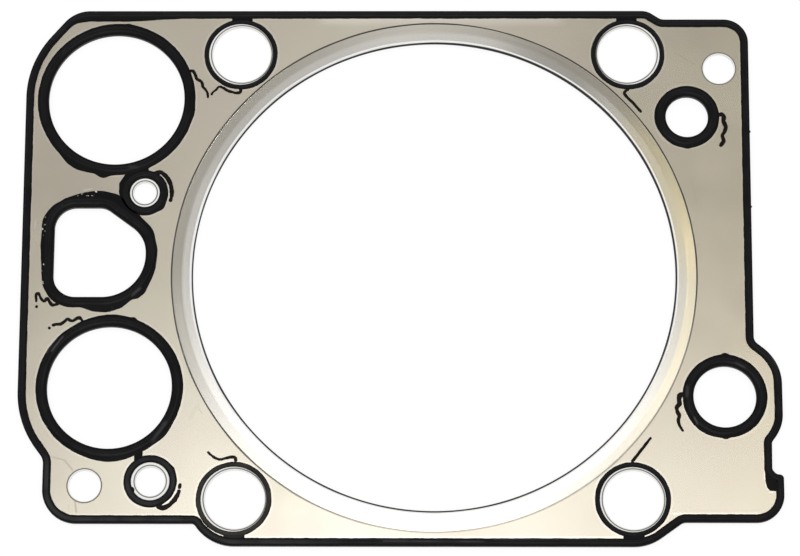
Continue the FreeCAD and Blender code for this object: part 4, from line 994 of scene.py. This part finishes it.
class GASKET_OT_stage(bpy.types.Operator):
    """Floor, surround, lamps and camera at the photograph's view"""
    bl_idname = "gasket.stage"
    bl_label = "Stage"

    def execute(self, context):
        studio, colours = context.scene.gasket_studio, context.scene.gasket_colours
        self.floor(colours)
        self.surround(context, studio)
        self.lamp("overhead_lamp", (-0.02, -0.165, 1.2), (studio.lamp_size, 0.75),
                  studio.lamp_power, (1.0, 0.99, 0.97), -6.0)
        for name, given in LAMPS.items():
            self.lamp(name, *given)
        self.camera(context, studio)
        context.scene.view_settings.view_transform = "Standard"
        return {"FINISHED"}

    def floor(self, colours):
        """A pale floor that keeps the shadow and shows white to the camera and in gloss."""
        mesh = bpy.data.meshes.new("floor")
        half, low = 3.0, -LIP_TOP
        mesh.from_pydata([(-half, -half, low), (half, -half, low), (half, half, low),
                          (-half, half, low)], [], [(0, 1, 2, 3)])
        floor = placed("floor", mesh)
        material, nodes = node_material("studio_floor")
        matt = nodes.add("ShaderNodeBsdfDiffuse", None, {"Color": (*colours.floor, 1.0)})
        glow = nodes.add("ShaderNodeEmission", None, {"Color": (1, 1, 1, 1), "Strength": 1.07})
        both = nodes.add("ShaderNodeMixShader", None, {
            0: nodes.rays("Camera", "Glossy", "Transmission") * 0.8,
            1: matt.outputs[0], 2: glow.outputs[0]})
        nodes.add("ShaderNodeOutputMaterial", None, {"Surface": both.outputs[0]})
        mesh.materials.append(material)

    def surround(self, context, studio):
        """White to the camera. Gloss sees pale walls and a ceiling with darker cards."""
        world = bpy.data.worlds.new("studio")
        world.use_nodes = True
        context.scene.world = world
        nodes = Nodes(world.node_tree)
        x, y, z = nodes.parts(nodes.out(nodes.add("ShaderNodeTexCoord"), "Generated"))
        walls = nodes.step(z, 0.86, 0.62)
        middle = nodes.step(abs(x + 0.015), 0.07, 0.02)
        card = spot(nodes, x, y, (0.08, 0.39), 0.16, 0.04)
        shade = spot(nodes, x, y, (-0.11, 0.35), 0.13, 0.04)
        straw = spot(nodes, x, y, (0.235, 0.32), 0.15, 0.05)
        ceiling = walls + (1.0 - walls) * (
            studio.ceiling + middle * 0.70 + straw * 0.05 - card * 0.21 - shade * 0.09)
        gloss, camera = nodes.rays("Glossy", "Transmission"), nodes.rays("Camera")
        strength = gloss * ceiling + (1.0 - gloss) * studio.surround
        strength = strength * (1.0 - camera) + camera
        warm = gloss * (1.0 - walls) * (1.0 - middle * 0.6)
        tone = nodes.mix(warm, (1.0, 1.0, 1.0), (1.0, 0.93, 0.81))
        back = nodes.add("ShaderNodeBackground", None, {
            "Color": nodes.mix(straw * gloss, tone, (1.0, 0.88, 0.56)), "Strength": strength})
        nodes.add("ShaderNodeOutputWorld", None, {"Surface": back.outputs[0]})

    def lamp(self, name, place, size, power, colour, turn=0.0):
        """An area lamp: level with the ceiling, or aimed at the gasket if it stands beside."""
        data = bpy.data.lights.new(name, "AREA")
        data.shape = "RECTANGLE"
        data.size, data.size_y = size
        data.energy, data.color = power, colour
        lamp = placed(name, data)
        lamp.location = place
        lamp.rotation_euler = (0.0, 0.0, math.radians(turn))
        if name.endswith("glint"):
            lamp.rotation_euler = Vector(place).to_track_quat("Z", "Y").to_euler()

    def camera(self, context, studio):
        data = bpy.data.cameras.new("camera")
        data.sensor_width, data.lens = 36.0, studio.lens
        data.clip_start, data.clip_end = 0.01, 20.0
        camera = placed("camera", data)
        camera.matrix_world = (Matrix.Translation(Vector(CAMERA_PLACE) * MM)
                               @ Matrix(CAMERA_AXES).transposed().to_4x4())
        context.scene.camera = camera


class GASKET_OT_carrier_plate(bpy.types.Operator):
    """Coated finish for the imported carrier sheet"""
    bl_idname = "gasket.carrier_plate"
    bl_label = "Carrier sheet"

    def execute(self, context):
        finish = coated_steel()
        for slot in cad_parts["carrier_plate"].material_slots:
            slot.link = "OBJECT"
            slot.material = finish
        return {"FINISHED"}


class GASKET_OT_fire_ring(bpy.types.Operator):
    """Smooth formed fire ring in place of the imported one"""
    bl_idname = "gasket.fire_ring"
    bl_label = "Fire ring"

    def execute(self, context):
        count = context.scene.gasket_sizes.ring_segments
        lower = [(radius, -height, rounding) for radius, height, rounding in reversed(FIRE_RING)]
        section = rounded_path(FIRE_RING + lower, RING_SECTION_STEP)
        bm = bmesh.new()
        rings = []
        for step in range(count):
            turn = 2 * math.pi * step / count
            rings.append([bm.verts.new((across * math.cos(turn) * MM,
                                        across * math.sin(turn) * MM, above * MM))
                          for across, above in section])
        for ring, following in zip(rings, rings[1:] + rings[:1]):
            add_wall(bm, ring, following)
        for face in bm.faces:
            face.smooth = True
        bmesh.ops.recalc_face_normals(bm, faces=bm.faces)
        mesh = bpy.data.meshes.new("fire_ring_formed")
        bm.to_mesh(mesh)
        bm.free()
        mesh.set_sharp_from_angle(angle=RING_SHARP)
        mesh.materials.append(ring_steel())
        ring = placed("fire_ring_formed", mesh)
        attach(ring, BODY)
        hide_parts("fire_ring")
        return {"FINISHED"}


class GASKET_OT_rim_seal(bpy.types.Operator):
    """Band round the rim, bolt hole rings, webs, pads and their runners"""
    bl_idname = "gasket.rim_seal"
    bl_label = "Rim seal"

    def execute(self, context):
        sizes = context.scene.gasket_sizes
        step, band = sizes.path_step / MM, sizes.band_width / MM
        edge = rounded_path(GASKET_EDGE, step)
        widths = [self.width_at(point, band) for point in edge]
        radius, width = BOLT_RING
        rings = []
        for (x, y), shift in zip(BOLT_HOLES, BOLT_SHIFTS):
            path = circle_path(x + shift, y, radius, step * BOLT_CLOSER)
            rings.append((path, [width] * len(path), LIPS["bolt"], width / 2, True))
        moulding = Moulding()
        moulding.sweeps([(edge, widths, LIPS["rim"], band / 2, True)], rings, "rim", 1)
        for x, y in BOLT_HOLES:
            low, high = (y + WEB_START, WEB_TOP) if y > 0 else (WEB_FOOT, y - WEB_START)
            moulding.pad([(x - WEB_HALF, low), (x + WEB_HALF, low), (x + WEB_HALF, high),
                          (x - WEB_HALF, high)])
        moulding.pad(TAB_PAD)
        moulding.make("rim_seal_moulded", "rim_seal")
        return {"FINISHED"}

    def width_at(self, point, band):
        """The band is thicker along the left of the upper edge."""
        if point.y < THICK_ABOVE:
            return band
        start, full, fading, end = THICK_RUN
        share = min((point.x - start) / (full - start), (end - point.x) / (end - fading), 1.0)
        return band + THICK_MORE * max(0.0, share)


class GASKET_OT_port_seals(bpy.types.Operator):
    """Seals of the ports, each with its runners"""
    bl_idname = "gasket.port_seals"
    bl_label = "Port seals"

    def execute(self, context):
        step = context.scene.gasket_sizes.path_step / MM
        for seed, (port, (x, y, radius, width)) in enumerate(ROUND_PORTS.items(), start=2):
            path = circle_path(x, y, radius, step)
            lined = [(path, swellings(path, port, width), LIPS["port"], width / 2, True)]
            seated = []
            if port in SMALL_RINGS:
                x, y, radius, width = SMALL_RINGS[port]
                path = circle_path(x, y, radius, step * SMALL_CLOSER)
                seated.append((path, swellings(path, f"{port}_small", width), LIPS["small"],
                               width / 2, True))
            if port == "upper_left":
                path = rounded_path(FLAT_PORT, step)
                rim = rounded_path(FLAT_SEAL_EDGE, FLAT_SEAL_STEP)
                widths = [reach_to(point, outward(path, index), rim)
                          for index, point in enumerate(path)]
                lined.append((path, widths, LIPS["port"], FLAT_LIP_MIDDLE, True))
            moulding = Moulding()
            for points in TIE_PADS.get(port, []):
                moulding.pad(points)
            moulding.sweeps(lined, seated, port, seed)
            moulding.make(f"{port}_seal_moulded", f"{port}_seal")
        return {"FINISHED"}


GROUPS = {"gasket_sizes": GasketSizes, "gasket_colours": GasketColours,
          "gasket_studio": GasketStudio}
OPERATORS = [GASKET_OT_stage, GASKET_OT_carrier_plate, GASKET_OT_fire_ring, GASKET_OT_rim_seal,
             GASKET_OT_port_seals]


class GASKET_PT_panel(bpy.types.Panel):
    """Sizes, colours and studio of the gasket"""
    bl_idname = "GASKET_PT_panel"
    bl_label = "Cylinder Head Gasket"
    bl_space_type = "VIEW_3D"
    bl_region_type = "UI"
    bl_category = "Gasket"

    def draw(self, context):
        for name, group in GROUPS.items():
            box = self.layout.box()
            for setting in group.__annotations__:
                box.prop(getattr(context.scene, name), setting)
        for operator in OPERATORS:
            self.layout.operator(operator.bl_idname)


CLASSES = [*GROUPS.values(), *OPERATORS, GASKET_PT_panel]


def register():
    for item in CLASSES:
        bpy.utils.register_class(item)
    for name, group in GROUPS.items():
        setattr(bpy.types.Scene, name, bpy.props.PointerProperty(type=group))


def unregister():
    for name in GROUPS:
        delattr(bpy.types.Scene, name)
    for item in reversed(CLASSES):
        bpy.utils.unregister_class(item)


def main():
    register()
    for operator in OPERATORS:
        getattr(bpy.ops.gasket, operator.bl_idname.split(".")[1])()
    for name in ("lined_section", "seated_section", "runner_section"):
        bpy.data.objects.remove(bpy.data.objects[name])


if __name__ == "__main__":
    main()
